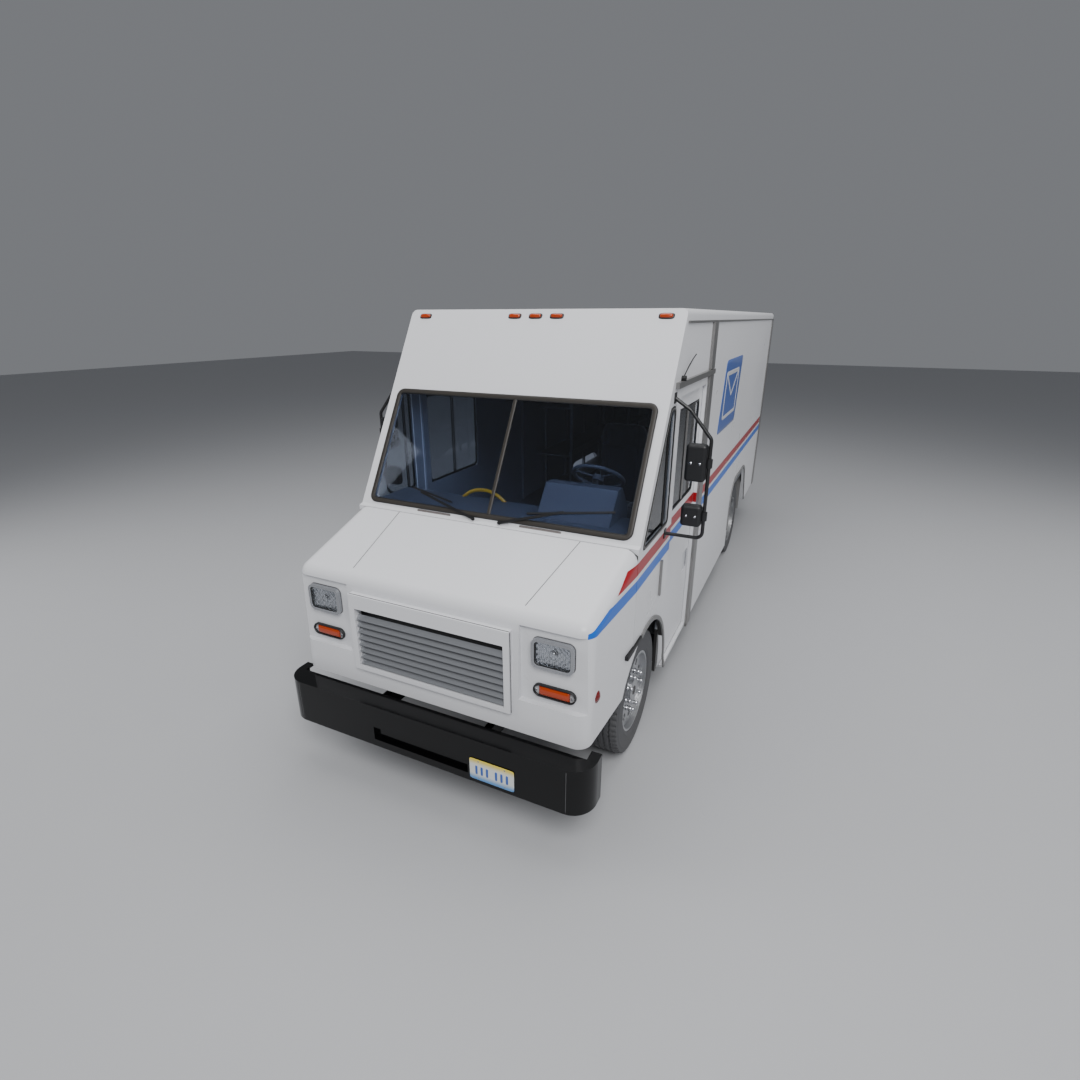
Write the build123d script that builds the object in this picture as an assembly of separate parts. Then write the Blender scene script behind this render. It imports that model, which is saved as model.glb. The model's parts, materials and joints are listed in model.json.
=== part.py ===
from build123d import *
import math
import os

# Millimetres. X runs to the truck's left, Y to its rear and Z up.
# The origin is on the ground under the middle.

# Overall sizes
LENGTH = 7680
HALF_WIDTH = 1100
ROOF_Z = 3094
SKIN = 30
FRONT = -LENGTH / 2
REAR = LENGTH / 2
INNER = HALF_WIDTH - SKIN

# Clearances
RUNNING = 0.05
SLIDING = 0.5
SIDE_GAP = 1.0
SOFT_GAP = 0.3

# Body lines
FLOOR_TOP = 1040
CARGO_FLOOR = 40
CAB_FLOOR = 30
AISLE_HALF = 580
TREAD_PLATE = 3
GUTTER_Z = ROOF_Z - 84
CAB_FRONT_Y = FRONT + 888
COWL_Y = FRONT + 924
COWL_Z = 1711
RAKE = 811 / 1383
REAR_WALL_Y = REAR - 198
CARGO_FRONT_Y = FRONT + 2899
BODY_BOTTOM_Z = 320
TAIL_BOTTOM_Z = 540
ROOF_EDGE_RADIUS = 40
RIB_DEPTH = 30

# Wheels
TYRE_R = 461
TYRE_WIDTH = 255
TYRE_WALL = 30
RIM_R = 300
WHEEL_X = HALF_WIDTH - 168
DUAL_SPACING = 300
FRONT_AXLE_Y = FRONT + 1218
REAR_AXLE_Y = REAR - 2060
KINGPIN_X = WHEEL_X - 82
KINGPIN_R = 22
SPINDLE_R = 32
REAR_SPINDLE_R = 45
FRONT_ARCH_R = 545
DIFFERENTIAL_R = 190

# Frame
RAIL_X = 430
RAIL_FLANGE = 60
RAIL_WALL = 8
RAIL_BOTTOM = 660
RAIL_TOP = 900
RAIL_FRONT = FRONT + 280
RAIL_REAR = REAR_WALL_Y - SKIN

# Doors
DOOR_OPEN_FRONT = FRONT + 1720
DOOR_OPEN_REAR = FRONT + 2640
DOOR_SILL_Z = 345
DOOR_HEAD_Z = 2530
DOOR_LAP = 30
DOOR_THICK = 24
DOOR_TRAVEL = 850
REAR_DOOR_HALF = 866
REAR_DOOR_TOP = 2850
REAR_DOOR_THICK = 30
HINGE_R = 12
HINGE_PIN_R = 6
HINGE_LENGTH = 120
HINGE_Y = REAR_WALL_Y + REAR_DOOR_THICK + 3
LATCH = (-90, REAR_WALL_Y + REAR_DOOR_THICK, 1500)
LATCH_R = 9

# Tilting hood
HOOD_REAR_Y = FRONT + 880
HOOD_FACE_Y = FRONT + 156
HOOD_BROW_Y = FRONT + 188
HOOD_BROW_Z = 1480
HOOD_BOTTOM_Z = 711
HOOD_FRONT_HALF = HALF_WIDTH - 38
HOOD_SKIN = 12
HOOD_NOSE_SKIN = 70
HOOD_RADIUS = 90
POCKET_Y = FRONT + 205
HOOD_HINGE_Y = FRONT + 240
HOOD_HINGE_Z = 700
HOOD_PIN_R = 8
LAMP_X = 838
HEADLIGHT_Z = 1270
SIGNAL_Z = 1021
GRILLE_HALF = 586
GRILLE_BOTTOM = 832
GRILLE_TOP = 1380
LOUVRE_HALF = 545
LOUVRE_BOTTOM = 862
LOUVRE_TOP = 1283
LOUVRE_PITCH = 47
LOUVRE_DEPTH = 40
LOUVRE_TILT = 45

# Windshield, measured up the raked front
GLASS_FRAME_HALF = 1037
GLASS_FRAME_LOW = 18
GLASS_FRAME_HIGH = 936
GLASS_BORDER = 30
WIPER_PIVOT_UP = 4
WIPER_PIN_R = 6

# Bumpers
BUMPER_Y = FRONT + 8
BUMPER_TOP = 678
BUMPER_BOTTOM = 365
BUMPER_HALF = HALF_WIDTH + 40
BUMPER_WALL = 10
BUMPER_LIP_Y = FRONT + 145

# Mirrors
MIRROR_Y = FRONT + 1535
MIRROR_TUBE_X = HALF_WIDTH + 260
TUBE_R = 12.5
UPPER_MIRROR_Z = 2130
LOWER_MIRROR_Z = 1762

# Driver's place
SEAT_X = 510
SEAT_Y = FRONT + 2200
SEAT_BASE_Z = 1440
WHEEL_CENTRE = (525, FRONT + 1710, 1905)
COLUMN_DIRECTION = (0, 0.6, 0.8)
COLUMN_R = 34
COLUMN_LENGTH = 455
SHAFT_R = 15
STEERING_WHEEL_R = 195
DASH_TOP = 1720
DASH_DEPTH = 472
GAUGES_TOP = 1937
ENGINE_COVER_TOP = 1500
SELECTOR = (230, FRONT + 1500, ENGINE_COVER_TOP + 40)
BRAKE_PIVOT = (350, FRONT + 1300, 1500)
PEDAL_PIN_R = 6

# The raked front of the cab: local x across, local y up the slope, local z outwards.
SLOPE = Plane(
    origin=(0, COWL_Y, COWL_Z),
    x_dir=(1, 0, 0),
    z_dir=(0, -1, RAKE),
)
SLOPE_PER_Z = math.hypot(1, RAKE)
COLUMN = Plane(origin=WHEEL_CENTRE, x_dir=(1, 0, 0), z_dir=COLUMN_DIRECTION)


def block(x_span, y_span, z_span):
    """A box given by where it starts and ends along each axis."""
    spans = (x_span, y_span, z_span)
    middle = [(low + high) / 2 for low, high in spans]
    size = [high - low for low, high in spans]
    return Pos(*middle) * Box(*size)


def around(middle, size):
    """The span of a given size about a middle."""
    return (middle - size / 2, middle + size / 2)


def both(shape):
    """A shape together with its mirror image on the other side."""
    return shape + mirror(shape, Plane.YZ)


def prism_x(points, x_span, corners=0, radius=0):
    """An outline of (y, z) points pushed along X, with its highest corners rounded."""
    face = make_face(Polyline(*points, close=True))
    if corners:
        face = fillet(face.vertices().sort_by(Axis.Y)[-corners:], radius)
    return extrude(Plane.YZ.offset(x_span[0]) * face, x_span[1] - x_span[0])


def prism_z(points, z_span):
    """An outline of (x, y) points pushed up Z."""
    face = make_face(Polyline(*points, close=True))
    return extrude(Plane.XY.offset(z_span[0]) * face, z_span[1] - z_span[0])


def rod(axis, centre, radius, length):
    """A round bar along X, Y or Z with its middle at centre."""
    turn = {"x": Rot(0, 90, 0), "y": Rot(90, 0, 0), "z": Rot(0, 0, 0)}[axis]
    return Pos(*centre) * turn * Cylinder(radius, length)


def slope_y(z):
    """How far back the raked front is at height z."""
    return COWL_Y + (z - COWL_Z) * RAKE


def slope_block(x_span, up_span, out_span):
    """A box given in the raked front's own directions."""
    return SLOPE * block(x_span, up_span, out_span)


# Frame, axles and running gear


def frame_rail():
    flange = block((RAIL_X - RAIL_FLANGE, RAIL_X), (RAIL_FRONT, RAIL_REAR), (RAIL_BOTTOM, RAIL_TOP))
    hollow = block(
        (RAIL_X - RAIL_FLANGE - 1, RAIL_X - RAIL_WALL),
        (RAIL_FRONT - 1, RAIL_REAR + 1),
        (RAIL_BOTTOM + RAIL_WALL, RAIL_TOP - RAIL_WALL),
    )
    return flange - hollow


def crossmembers():
    half = RAIL_X - RAIL_WALL
    ends = (RAIL_BOTTOM + RAIL_WALL, RAIL_TOP - RAIL_WALL)
    front = block((-half, half), around(RAIL_FRONT + 60, 60), (ends[0], ends[0] + 30))
    beams = front
    gap = (RAIL_REAR - 60 - (CARGO_FRONT_Y - 300)) / 5
    for number in range(6):
        y = CARGO_FRONT_Y - 300 + gap * number
        beams += block((-half, half), around(y, 60), ends)
    # Blocks on the rails that carry the pins of the tilting hood.
    ear_y = (HOOD_HINGE_Y - 6, RAIL_FRONT + 90)
    ear = block((RAIL_X, RAIL_X + 22), ear_y, (HOOD_HINGE_Z - 20, HOOD_HINGE_Z + 10))
    pin = rod("x", (RAIL_X + 33, HOOD_HINGE_Y, HOOD_HINGE_Z), HOOD_PIN_R, 66)
    return beams + both(ear + pin)


def leaf_spring(axle_y, low_z, x):
    """A curved pack of leaves that rests on the axle and meets the rail at both ends."""
    half, depth, width = 560, 40, 60
    top = RAIL_BOTTOM
    outer = ThreePointArc((axle_y - half, top - depth), (axle_y, low_z), (axle_y + half, top - depth))
    inner = ThreePointArc((axle_y + half, top), (axle_y, low_z + depth), (axle_y - half, top))
    left = Line((axle_y - half, top), (axle_y - half, top - depth))
    right = Line((axle_y + half, top - depth), (axle_y + half, top))
    face = make_face(Curve() + [outer, right, inner, left])
    return extrude(Plane.YZ.offset(x - width / 2) * face, width)


def suspension():
    beam_top = 440
    beam = block((-KINGPIN_X, KINGPIN_X), around(FRONT_AXLE_Y, 70), (beam_top - 70, beam_top))
    eyes = both(rod("z", (KINGPIN_X, FRONT_AXLE_Y, beam_top - 35), 48, 70))
    bores = both(rod("z", (KINGPIN_X, FRONT_AXLE_Y, beam_top - 35), KINGPIN_R + RUNNING, 80))
    front = beam + eyes - bores
    centre = (0, REAR_AXLE_Y, TYRE_R)
    housing = rod("x", centre, 70, 2 * (WHEEL_X - DUAL_SPACING / 2 - 20))
    differential = rod("x", centre, DIFFERENTIAL_R, 260)
    spindles = rod("x", centre, REAR_SPINDLE_R, 2 * (WHEEL_X + 40))
    rear = housing + differential + spindles
    spring_x = RAIL_X - RAIL_FLANGE / 2
    springs = leaf_spring(FRONT_AXLE_Y, beam_top, spring_x)
    springs += leaf_spring(REAR_AXLE_Y, TYRE_R + 70, spring_x)
    return front + rear + both(springs)


def engine():
    half = 250
    radiator = block((-350, 350), (RAIL_FRONT, RAIL_FRONT + 50), (760, 1400))
    fan = rod("y", (0, RAIL_FRONT + 85, 1080), 230, 70)
    motor = block((-half, half), (RAIL_FRONT + 120, CAB_FRONT_Y - 30), (HOOD_HINGE_Z + 20, 1300))
    gearbox = block((-150, 150), (CAB_FRONT_Y - 30, FRONT + 1640), (540, 860))
    shaft_start = FRONT + 1640
    shaft_length = REAR_AXLE_Y - 180 - shaft_start
    shaft = rod("y", (0, shaft_start + shaft_length / 2, 590), 45, shaft_length)
    nose = rod("y", (0, REAR_AXLE_Y - 185, 560), 80, 40)
    differential = rod("x", (0, REAR_AXLE_Y, TYRE_R), DIFFERENTIAL_R, 260)
    return radiator + fan + motor + gearbox + shaft + nose - differential


def fuel_tank():
    tank = block((-900, -480), (CARGO_FRONT_Y + 240, CARGO_FRONT_Y + 1340), (420, 800))
    tank = fillet(tank.edges().filter_by(Axis.Y), 60)
    for y in (CARGO_FRONT_Y + 440, CARGO_FRONT_Y + 1140):
        tank += block((-520, -RAIL_X), around(y, 60), (680, 790))
    return tank


def front_bumper():
    def outline(inset):
        half = BUMPER_HALF - inset
        face = BUMPER_Y + inset
        end = FRONT + 225
        corner = 150
        bend = 0.293 * corner
        flat = half - corner
        front = Line((-flat, face), (flat, face))
        right = ThreePointArc((flat, face), (half - bend, face + bend), (half, face + corner))
        right_end = Line((half, face + corner), (half, end))
        back = Polyline(
            (half, end), (HALF_WIDTH - 25, end), (HALF_WIDTH - 25, BUMPER_LIP_Y),
            (25 - HALF_WIDTH, BUMPER_LIP_Y), (25 - HALF_WIDTH, end), (-half, end),
        )
        left_end = Line((-half, end), (-half, face + corner))
        left = ThreePointArc((-half, face + corner), (bend - half, face + bend), (-flat, face))
        return make_face(Curve() + [front, right, right_end, back, left_end, left])

    height = BUMPER_TOP - BUMPER_BOTTOM
    under_lip = (BUMPER_BOTTOM - 1, BUMPER_TOP - BUMPER_WALL)
    shell = extrude(Plane.XY.offset(BUMPER_BOTTOM) * outline(0), height)
    room = extrude(Plane.XY.offset(BUMPER_BOTTOM - 1) * outline(BUMPER_WALL), height - BUMPER_WALL + 1)
    lip_x = (25 - HALF_WIDTH, HALF_WIDTH - 25)
    behind = block(lip_x, (BUMPER_LIP_Y - 20, BUMPER_LIP_Y + 200), under_lip)
    end_x = (HALF_WIDTH - 40, BUMPER_HALF - BUMPER_WALL)
    ends = both(block(end_x, (FRONT + 140, FRONT + 226), under_lip))
    shell = shell - room - behind - ends
    # A shallow pocket in the face.
    backing = block((-380, 365), (BUMPER_Y + BUMPER_WALL, BUMPER_Y + 40), (406, 526))
    pocket = block((-369, 354), (BUMPER_Y - 1, BUMPER_Y + 30), (417, 515))
    arms = both(block((375, 425), (BUMPER_Y + BUMPER_WALL, RAIL_FRONT + 120), (530, 640)))
    arms += both(block((375, 425), (RAIL_FRONT, RAIL_FRONT + 120), (639, RAIL_BOTTOM)))
    return shell + backing + arms - pocket


def rear_bumper():
    step = block((-1000, 1000), (REAR_WALL_Y, REAR), (480, TAIL_BOTTOM_Z))
    step -= block((-990, 990), (REAR_WALL_Y - 1, REAR - 10), (470, 530))
    arms = both(block((375, 425), (RAIL_REAR - 200, REAR - 5), (500, TAIL_BOTTOM_Z)))
    arms += both(block((375, 425), (RAIL_REAR - 200, RAIL_REAR), (500, RAIL_BOTTOM)))
    return step + arms


# Body shell


def front_arch():
    well = rod("x", (0, FRONT_AXLE_Y, TYRE_R), FRONT_ARCH_R, 4 * HALF_WIDTH)
    skirt = [
        (FRONT_AXLE_Y - FRONT_ARCH_R, TYRE_R),
        (FRONT_AXLE_Y + FRONT_ARCH_R, TYRE_R),
        (FRONT_AXLE_Y + FRONT_ARCH_R + 75, BODY_BOTTOM_Z - 20),
        (FRONT_AXLE_Y - FRONT_ARCH_R, BODY_BOTTOM_Z - 20),
    ]
    return well + prism_x(skirt, (-2 * HALF_WIDTH, 2 * HALF_WIDTH))


def rear_arch(grow=0):
    outline = [
        (REAR_AXLE_Y - 685 - grow, 100),
        (REAR_AXLE_Y - 685 - grow, 1129 + grow),
        (REAR_AXLE_Y + 400 + grow, 1129 + grow),
        (REAR_AXLE_Y + 765 + grow, TAIL_BOTTOM_Z),
        (REAR_AXLE_Y + 765 + grow, 100),
    ]
    return prism_x(outline, (-2 * HALF_WIDTH, 2 * HALF_WIDTH), 2, 300 + grow)


def vent_window(x_span, inset=0):
    low, high = 1660 + inset, 2485 - inset
    outline = [
        (slope_y(low) + 75 + inset * 2, low),
        (FRONT + 1590 - inset, low),
        (FRONT + 1590 - inset, high),
        (slope_y(high) + 75 + inset * 2, high),
    ]
    return prism_x(outline, x_span)


def side_panel():
    """The left wall, with its door opening, arches, quarter window and inner ribs."""
    outline = [
        (CAB_FRONT_Y, BODY_BOTTOM_Z),
        (CAB_FRONT_Y, COWL_Z - 11),
        (COWL_Y, COWL_Z),
        (slope_y(GUTTER_Z), GUTTER_Z),
        (REAR_WALL_Y, GUTTER_Z),
        (REAR_WALL_Y, BODY_BOTTOM_Z),
    ]
    panel = prism_x(outline, (INNER, HALF_WIDTH))
    tail = block((0, 2 * HALF_WIDTH), (REAR_AXLE_Y + 600, REAR), (0, TAIL_BOTTOM_Z))
    doorway = block((0, 2 * HALF_WIDTH), (DOOR_OPEN_FRONT, DOOR_OPEN_REAR), (DOOR_SILL_Z, DOOR_HEAD_Z))
    panel = panel - front_arch() - rear_arch() - tail - doorway - vent_window((0, 2 * HALF_WIDTH))
    first = CARGO_FRONT_Y + 660
    gap = (REAR_WALL_Y - 100 - first) / 6
    for number in range(7):
        y = first + gap * number
        panel += block((INNER - RIB_DEPTH, INNER), around(y, 50), (FLOOR_TOP, GUTTER_Z))
    return panel


def roof_panel():
    rear = REAR_WALL_Y
    front = slope_y(GUTTER_Z) - 50
    cap = block((-HALF_WIDTH, HALF_WIDTH), (front, rear), (GUTTER_Z, ROOF_Z))
    top_edges = cap.edges().filter_by(Axis.Y).group_by(Axis.Z)[-1]
    cap = fillet(top_edges, ROOF_EDGE_RADIUS)
    cap -= block((-INNER, INNER), (front - 1, rear + 1), (GUTTER_Z - 1, ROOF_Z - SKIN))
    nose = slope_block((-2 * HALF_WIDTH, 2 * HALF_WIDTH), (0, 2000), (0, 500))
    bows = Part()
    gap = (rear - 200 - (front + 900)) / 5
    for number in range(6):
        y = front + 900 + gap * number
        bows += block((-INNER, INNER), around(y, 50), (GUTTER_Z, ROOF_Z - SKIN))
    return cap - nose + bows


def cab_front():
    """The firewall, cowl and raked cap, with the windshield opening and the wiper bores."""
    inner_run = SKIN * SLOPE_PER_Z
    top = ROOF_Z - SKIN
    outline = [
        (CAB_FRONT_Y, FLOOR_TOP - CAB_FLOOR),
        (CAB_FRONT_Y, COWL_Z - 11),
        (COWL_Y, COWL_Z),
        (slope_y(top), top),
        (slope_y(top) + inner_run, top),
        (slope_y(COWL_Z - 11) + inner_run, COWL_Z - 11),
        (CAB_FRONT_Y + SKIN, COWL_Z - 40),
        (CAB_FRONT_Y + SKIN, FLOOR_TOP - CAB_FLOOR),
    ]
    shell = prism_x(outline, (-INNER, INNER))
    shell -= windshield_opening((-100, 100))
    for side in (-1, 1):
        shell -= SLOPE * Pos(side * 104, WIPER_PIVOT_UP, 0) * Cylinder(WIPER_PIN_R + RUNNING, 200)
    return shell


def windshield_opening(out_span):
    return slope_block(
        (GLASS_BORDER - GLASS_FRAME_HALF, GLASS_FRAME_HALF - GLASS_BORDER),
        (GLASS_FRAME_LOW + GLASS_BORDER, GLASS_FRAME_HIGH - GLASS_BORDER),
        out_span,
    )


def windshield_frame():
    border = slope_block(
        (-GLASS_FRAME_HALF, GLASS_FRAME_HALF), (GLASS_FRAME_LOW, GLASS_FRAME_HIGH), (0, 10)
    )
    inside = slope_block(
        (38 - GLASS_FRAME_HALF, GLASS_FRAME_HALF - 38),
        (GLASS_FRAME_LOW + 38, GLASS_FRAME_HIGH - 38),
        (-1, 11),
    )
    divider = slope_block((-14, 14), (GLASS_FRAME_LOW, GLASS_FRAME_HIGH), (0, 8))
    return border - inside + divider


def fixed_glass():
    windshield = windshield_opening((-7, 0))
    return windshield + both(vent_window((INNER + 10, INNER + 16)))


def rear_frame():
    wall = block((-INNER, INNER), (REAR_WALL_Y - SKIN, REAR_WALL_Y), (TAIL_BOTTOM_Z, ROOF_Z - SKIN))
    clear = REAR_DOOR_HALF - 20
    wall -= block((-clear, clear), (REAR_WALL_Y - 100, REAR_WALL_Y + 1), (FLOOR_TOP, REAR_DOOR_TOP - 20))
    for z in hinge_heights():
        for end in (-1, 1):
            lug = around(z + end * (HINGE_LENGTH / 2 + SIDE_GAP + 7), 14)
            lug_x = (REAR_DOOR_HALF + 0.5, REAR_DOOR_HALF + 28)
            eye = rod("z", (REAR_DOOR_HALF + 14, HINGE_Y, sum(lug) / 2), HINGE_R, lug[1] - lug[0])
            wall += both(block(lug_x, (REAR_WALL_Y, HINGE_Y), lug) + eye)
        wall += both(rod("z", (REAR_DOOR_HALF + 14, HINGE_Y, z), HINGE_PIN_R, HINGE_LENGTH + 20))
    return wall


def hinge_heights():
    span = REAR_DOOR_TOP - FLOOR_TOP
    return [FLOOR_TOP + span * share for share in (0.12, 0.5, 0.88)]


def cargo_floor():
    slab_z = (FLOOR_TOP - CARGO_FLOOR, FLOOR_TOP)
    narrow = block((-INNER + 35, INNER - 35), (CARGO_FRONT_Y, CARGO_FRONT_Y + 640), slab_z)
    wide = block((-INNER, INNER), (CARGO_FRONT_Y + 640, REAR_WALL_Y - SKIN), slab_z)
    floor = narrow + wide
    ahead = (CARGO_FRONT_Y + 760, REAR_AXLE_Y - TYRE_R - 150)
    behind = (REAR_AXLE_Y + TYRE_R + 220, REAR_WALL_Y - SKIN - 100)
    for start, end in (ahead, behind):
        for number in range(3):
            y = start + (end - start) * number / 2
            floor += block((-INNER, INNER), around(y, 60), (RAIL_TOP, FLOOR_TOP - CARGO_FLOOR))
    sill_y = (CARGO_FRONT_Y, REAR_WALL_Y - SKIN)
    sill = block((RAIL_X - RAIL_FLANGE, RAIL_X), sill_y, (RAIL_TOP, FLOOR_TOP - CARGO_FLOOR))
    # The tread plate of the aisle stands a little above the floor beside it.
    aisle_y = (CARGO_FRONT_Y + 20, REAR_WALL_Y - SKIN - 20)
    aisle = block((-AISLE_HALF, AISLE_HALF), aisle_y, (FLOOR_TOP, FLOOR_TOP + TREAD_PLATE))
    return floor + both(sill) + aisle


def cab_floor():
    """The raised floor, the steps down into both doorways, the sills and the seat pedestal."""
    plate = 12
    bottom = FLOOR_TOP - CAB_FLOOR
    edge = INNER - 35
    floor = block((-edge, edge), (CAB_FRONT_Y + SKIN, CARGO_FRONT_Y), (bottom, FLOOR_TOP))
    start, end = DOOR_OPEN_FRONT + 140, DOOR_OPEN_REAR
    well_x = 640
    tread_x = 840
    tread_z = 690
    well = block((well_x, edge + 1), (start, end), (bottom - 1, FLOOR_TOP + 1))
    floor -= both(well)
    stairs = block((tread_x, edge), (start, end), (DOOR_SILL_Z, DOOR_SILL_Z + plate))
    stairs += block((tread_x, tread_x + plate), (start, end), (DOOR_SILL_Z, tread_z))
    stairs += block((well_x, tread_x + plate), (start, end), (tread_z - plate, tread_z))
    stairs += block((well_x, well_x + plate), (start, end), (tread_z - plate, FLOOR_TOP))
    for y in (start - plate / 2, end + plate / 2):
        stairs += block((well_x, edge), around(y, plate), (DOOR_SILL_Z, bottom))
    sill = block((RAIL_X - RAIL_FLANGE, RAIL_X), (CAB_FRONT_Y + SKIN, CARGO_FRONT_Y), (RAIL_TOP, bottom))
    wing_y = (CAB_FRONT_Y + SKIN, DOOR_OPEN_FRONT - DOOR_LAP - 10)
    wing = block((edge, INNER), wing_y, (bottom, FLOOR_TOP))
    pedestal = block(around(SEAT_X, 280), around(SEAT_Y, 400), (FLOOR_TOP, SEAT_BASE_Z))
    return floor + both(stairs + sill + wing) + pedestal


def side_trim():
    """Post channels, corner posts, drip rails, gutters and a short rail, on both sides."""
    out = HALF_WIDTH
    post = block((out, out + 22), (DOOR_OPEN_REAR, DOOR_OPEN_REAR + 150), (BODY_BOTTOM_Z - 20, 2596))
    post += block((out, out + 22), (DOOR_OPEN_REAR, DOOR_OPEN_REAR + 150), (2644, GUTTER_Z - 8))
    corner = block((out, out + 10), (REAR_WALL_Y - 150, REAR_WALL_Y), (TAIL_BOTTOM_Z, GUTTER_Z - 8))
    drip = block((out, out + 26), (FRONT + 1530, FRONT + 2830), (2600, 2640))
    gutter = block((out, out + 12), (slope_y(GUTTER_Z) + 60, REAR_WALL_Y), (GUTTER_Z - 8, GUTTER_Z + 8))
    rail = block((out, out + 16), around(FRONT + 1485, 24), (1135, 1409))
    return both(post + corner + drip + gutter + rail)


def wheel_arches():
    """Trim round the arches and the flaps behind the rear wheels."""
    ring_x = (HALF_WIDTH, HALF_WIDTH + 12)
    middle = (HALF_WIDTH + 6, FRONT_AXLE_Y, TYRE_R)
    ring = rod("x", middle, FRONT_ARCH_R + 32, 12) - rod("x", middle, FRONT_ARCH_R, 20)
    ring &= block(ring_x, (CAB_FRONT_Y + 190, CAB_FRONT_Y + 2000), (TYRE_R, 3 * TYRE_R))
    foot = [
        (FRONT_AXLE_Y + FRONT_ARCH_R, TYRE_R),
        (FRONT_AXLE_Y + FRONT_ARCH_R + 32, TYRE_R),
        (FRONT_AXLE_Y + FRONT_ARCH_R + 100, BODY_BOTTOM_Z),
        (FRONT_AXLE_Y + FRONT_ARCH_R + 65, BODY_BOTTOM_Z),
    ]
    ring += prism_x(foot, ring_x)
    rear = (rear_arch(30) - rear_arch()) & block(ring_x, (0, REAR), (TAIL_BOTTOM_Z, 1200))
    tyre_half = TYRE_WIDTH / 2
    flap_x = (WHEEL_X - DUAL_SPACING - tyre_half, WHEEL_X + tyre_half)
    flap_y = REAR_AXLE_Y + TYRE_R + 159
    flap = block(flap_x, around(flap_y, 8), (437, FLOOR_TOP - CARGO_FLOOR))
    return both(ring + rear + flap)


def body_lamps():
    up = (3046 - COWL_Z) * SLOPE_PER_Z
    lamps = slope_block(around(0, 93), around(up, 32), (0, 18))
    for x in (169, HALF_WIDTH - 138):
        lamps += both(slope_block(around(x, 93), around(up, 32), (0, 18)))
    for x in (0, 169):
        lamps += both(block(around(x, 93), (REAR_WALL_Y, REAR_WALL_Y + 18), around(2960, 32)))
    for z in (720, 850, 2700):
        lamps += both(rod("y", (HALF_WIDTH - 110, REAR_WALL_Y + 10, z), 52, 20))
    return lamps


def licence_plate():
    return block(around(525, 305), (FRONT, BUMPER_Y), around(472, 152))


# Driver's place and cargo fittings


def column_tube():
    return COLUMN * Pos(0, 0, -40 - COLUMN_LENGTH / 2) * Cylinder(COLUMN_R, COLUMN_LENGTH)


def steering_column():
    return column_tube() - COLUMN * Pos(0, 0, -60) * Cylinder(SHAFT_R + RUNNING, 80)


def dashboard():
    """Dash shelf, instrument hood, kick panel and engine cover, and the brake and selector pivots."""
    front = CAB_FRONT_Y + SKIN
    edge = INNER - 35
    shelf = block((-edge, edge), (front, front + DASH_DEPTH), (DASH_TOP - 80, DASH_TOP - 54))
    shelf += block((-edge, edge), (front + 60, front + DASH_DEPTH), (DASH_TOP - 80, DASH_TOP))
    kick = block((-edge, edge), (front, front + 30), (FLOOR_TOP, DASH_TOP - 60))
    rear = front + DASH_DEPTH
    hood = [
        (front + 150, DASH_TOP - 80), (rear + 128, DASH_TOP - 80), (rear + 128, DASH_TOP + 60),
        (rear, GAUGES_TOP), (rear - 92, GAUGES_TOP),
    ]
    gauges = prism_x(hood, (280, 820))
    cover = block((-300, 170), (front, front + 720), (FLOOR_TOP, ENGINE_COVER_TOP))
    cover = fillet(cover.edges().filter_by(Axis.Y).group_by(Axis.Z)[-1], 50)
    x, y, z = SELECTOR
    foot = block((160, x + 60), around(y, 60), (ENGINE_COVER_TOP - 100, z - 25))
    lugs = block((x - 26, x - 14), around(y, 40), (z - 30, z + 20))
    lugs += block((x + 14, x + 26), around(y, 40), (z - 30, z + 20))
    pin = rod("x", (x, y, z), PEDAL_PIN_R, 50)
    bx, by, bz = BRAKE_PIVOT
    hanger = block((bx - 26, bx - 14), (front + 20, by + 20), (bz - 20, bz + 20))
    hanger += block((bx + 14, bx + 26), (front + 20, by + 20), (bz - 20, bz + 20))
    brake_pin = rod("x", BRAKE_PIVOT, PEDAL_PIN_R, 50)
    solid = shelf + kick + gauges + cover + foot + lugs + pin + hanger + brake_pin
    return solid - column_tube()


def steering_wheel():
    rim = COLUMN * Torus(STEERING_WHEEL_R, 14)
    hub = COLUMN * Pos(0, 0, -16) * Cylinder(45, 40)
    stub = COLUMN * Pos(0, 0, -58) * Cylinder(SHAFT_R, 60)
    spokes = Part()
    spoke = Pos(0, STEERING_WHEEL_R / 2, -6) * Box(26, STEERING_WHEEL_R, 10)
    for angle in (0, 120, 240):
        spokes += COLUMN * Rot(0, 0, angle) * spoke
    return rim + hub + stub + spokes


def brake_pedal():
    x, y, z = BRAKE_PIVOT
    hub = rod("x", BRAKE_PIVOT, 16, 26)
    arm = block(around(x, 14), around(y, 16), (FLOOR_TOP + 140, z))
    pad = block(around(x, 90), (y - 8, y + 18), (FLOOR_TOP + 110, FLOOR_TOP + 180))
    return hub + arm + pad - rod("x", BRAKE_PIVOT, PEDAL_PIN_R + RUNNING, 40)


def gear_selector():
    x, y, z = SELECTOR
    hub = rod("x", SELECTOR, 15, 26)
    stem = rod("z", (x, y, z + 125), 8, 230)
    knob = Pos(x, y, z + 250) * Sphere(28)
    return hub + stem + knob - rod("x", SELECTOR, PEDAL_PIN_R + RUNNING, 40)


def seat_frame():
    base = SEAT_BASE_Z + SLIDING
    pan = block(around(SEAT_X, 480), around(SEAT_Y, 500), (base, base + 25))
    back = block(around(SEAT_X, 440), (SEAT_Y + 230, SEAT_Y + 250), (base, base + 740))
    arm = block((SEAT_X - 260, SEAT_X - 220), (SEAT_Y - 100, SEAT_Y + 250), (base + 300, base + 340))
    return pan + back + arm


def seat_cushions():
    low = SEAT_BASE_Z + SLIDING + 25 + SOFT_GAP
    cushion = block(around(SEAT_X, 470), (SEAT_Y - 260, SEAT_Y + 100), (low, low + 130))
    cushion = fillet(cushion.edges(), 35)
    back = block(around(SEAT_X, 436), (SEAT_Y + 110, SEAT_Y + 230 - SOFT_GAP), (low + 20, low + 760))
    back = fillet(back.edges(), 35)
    return cushion + back


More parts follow.
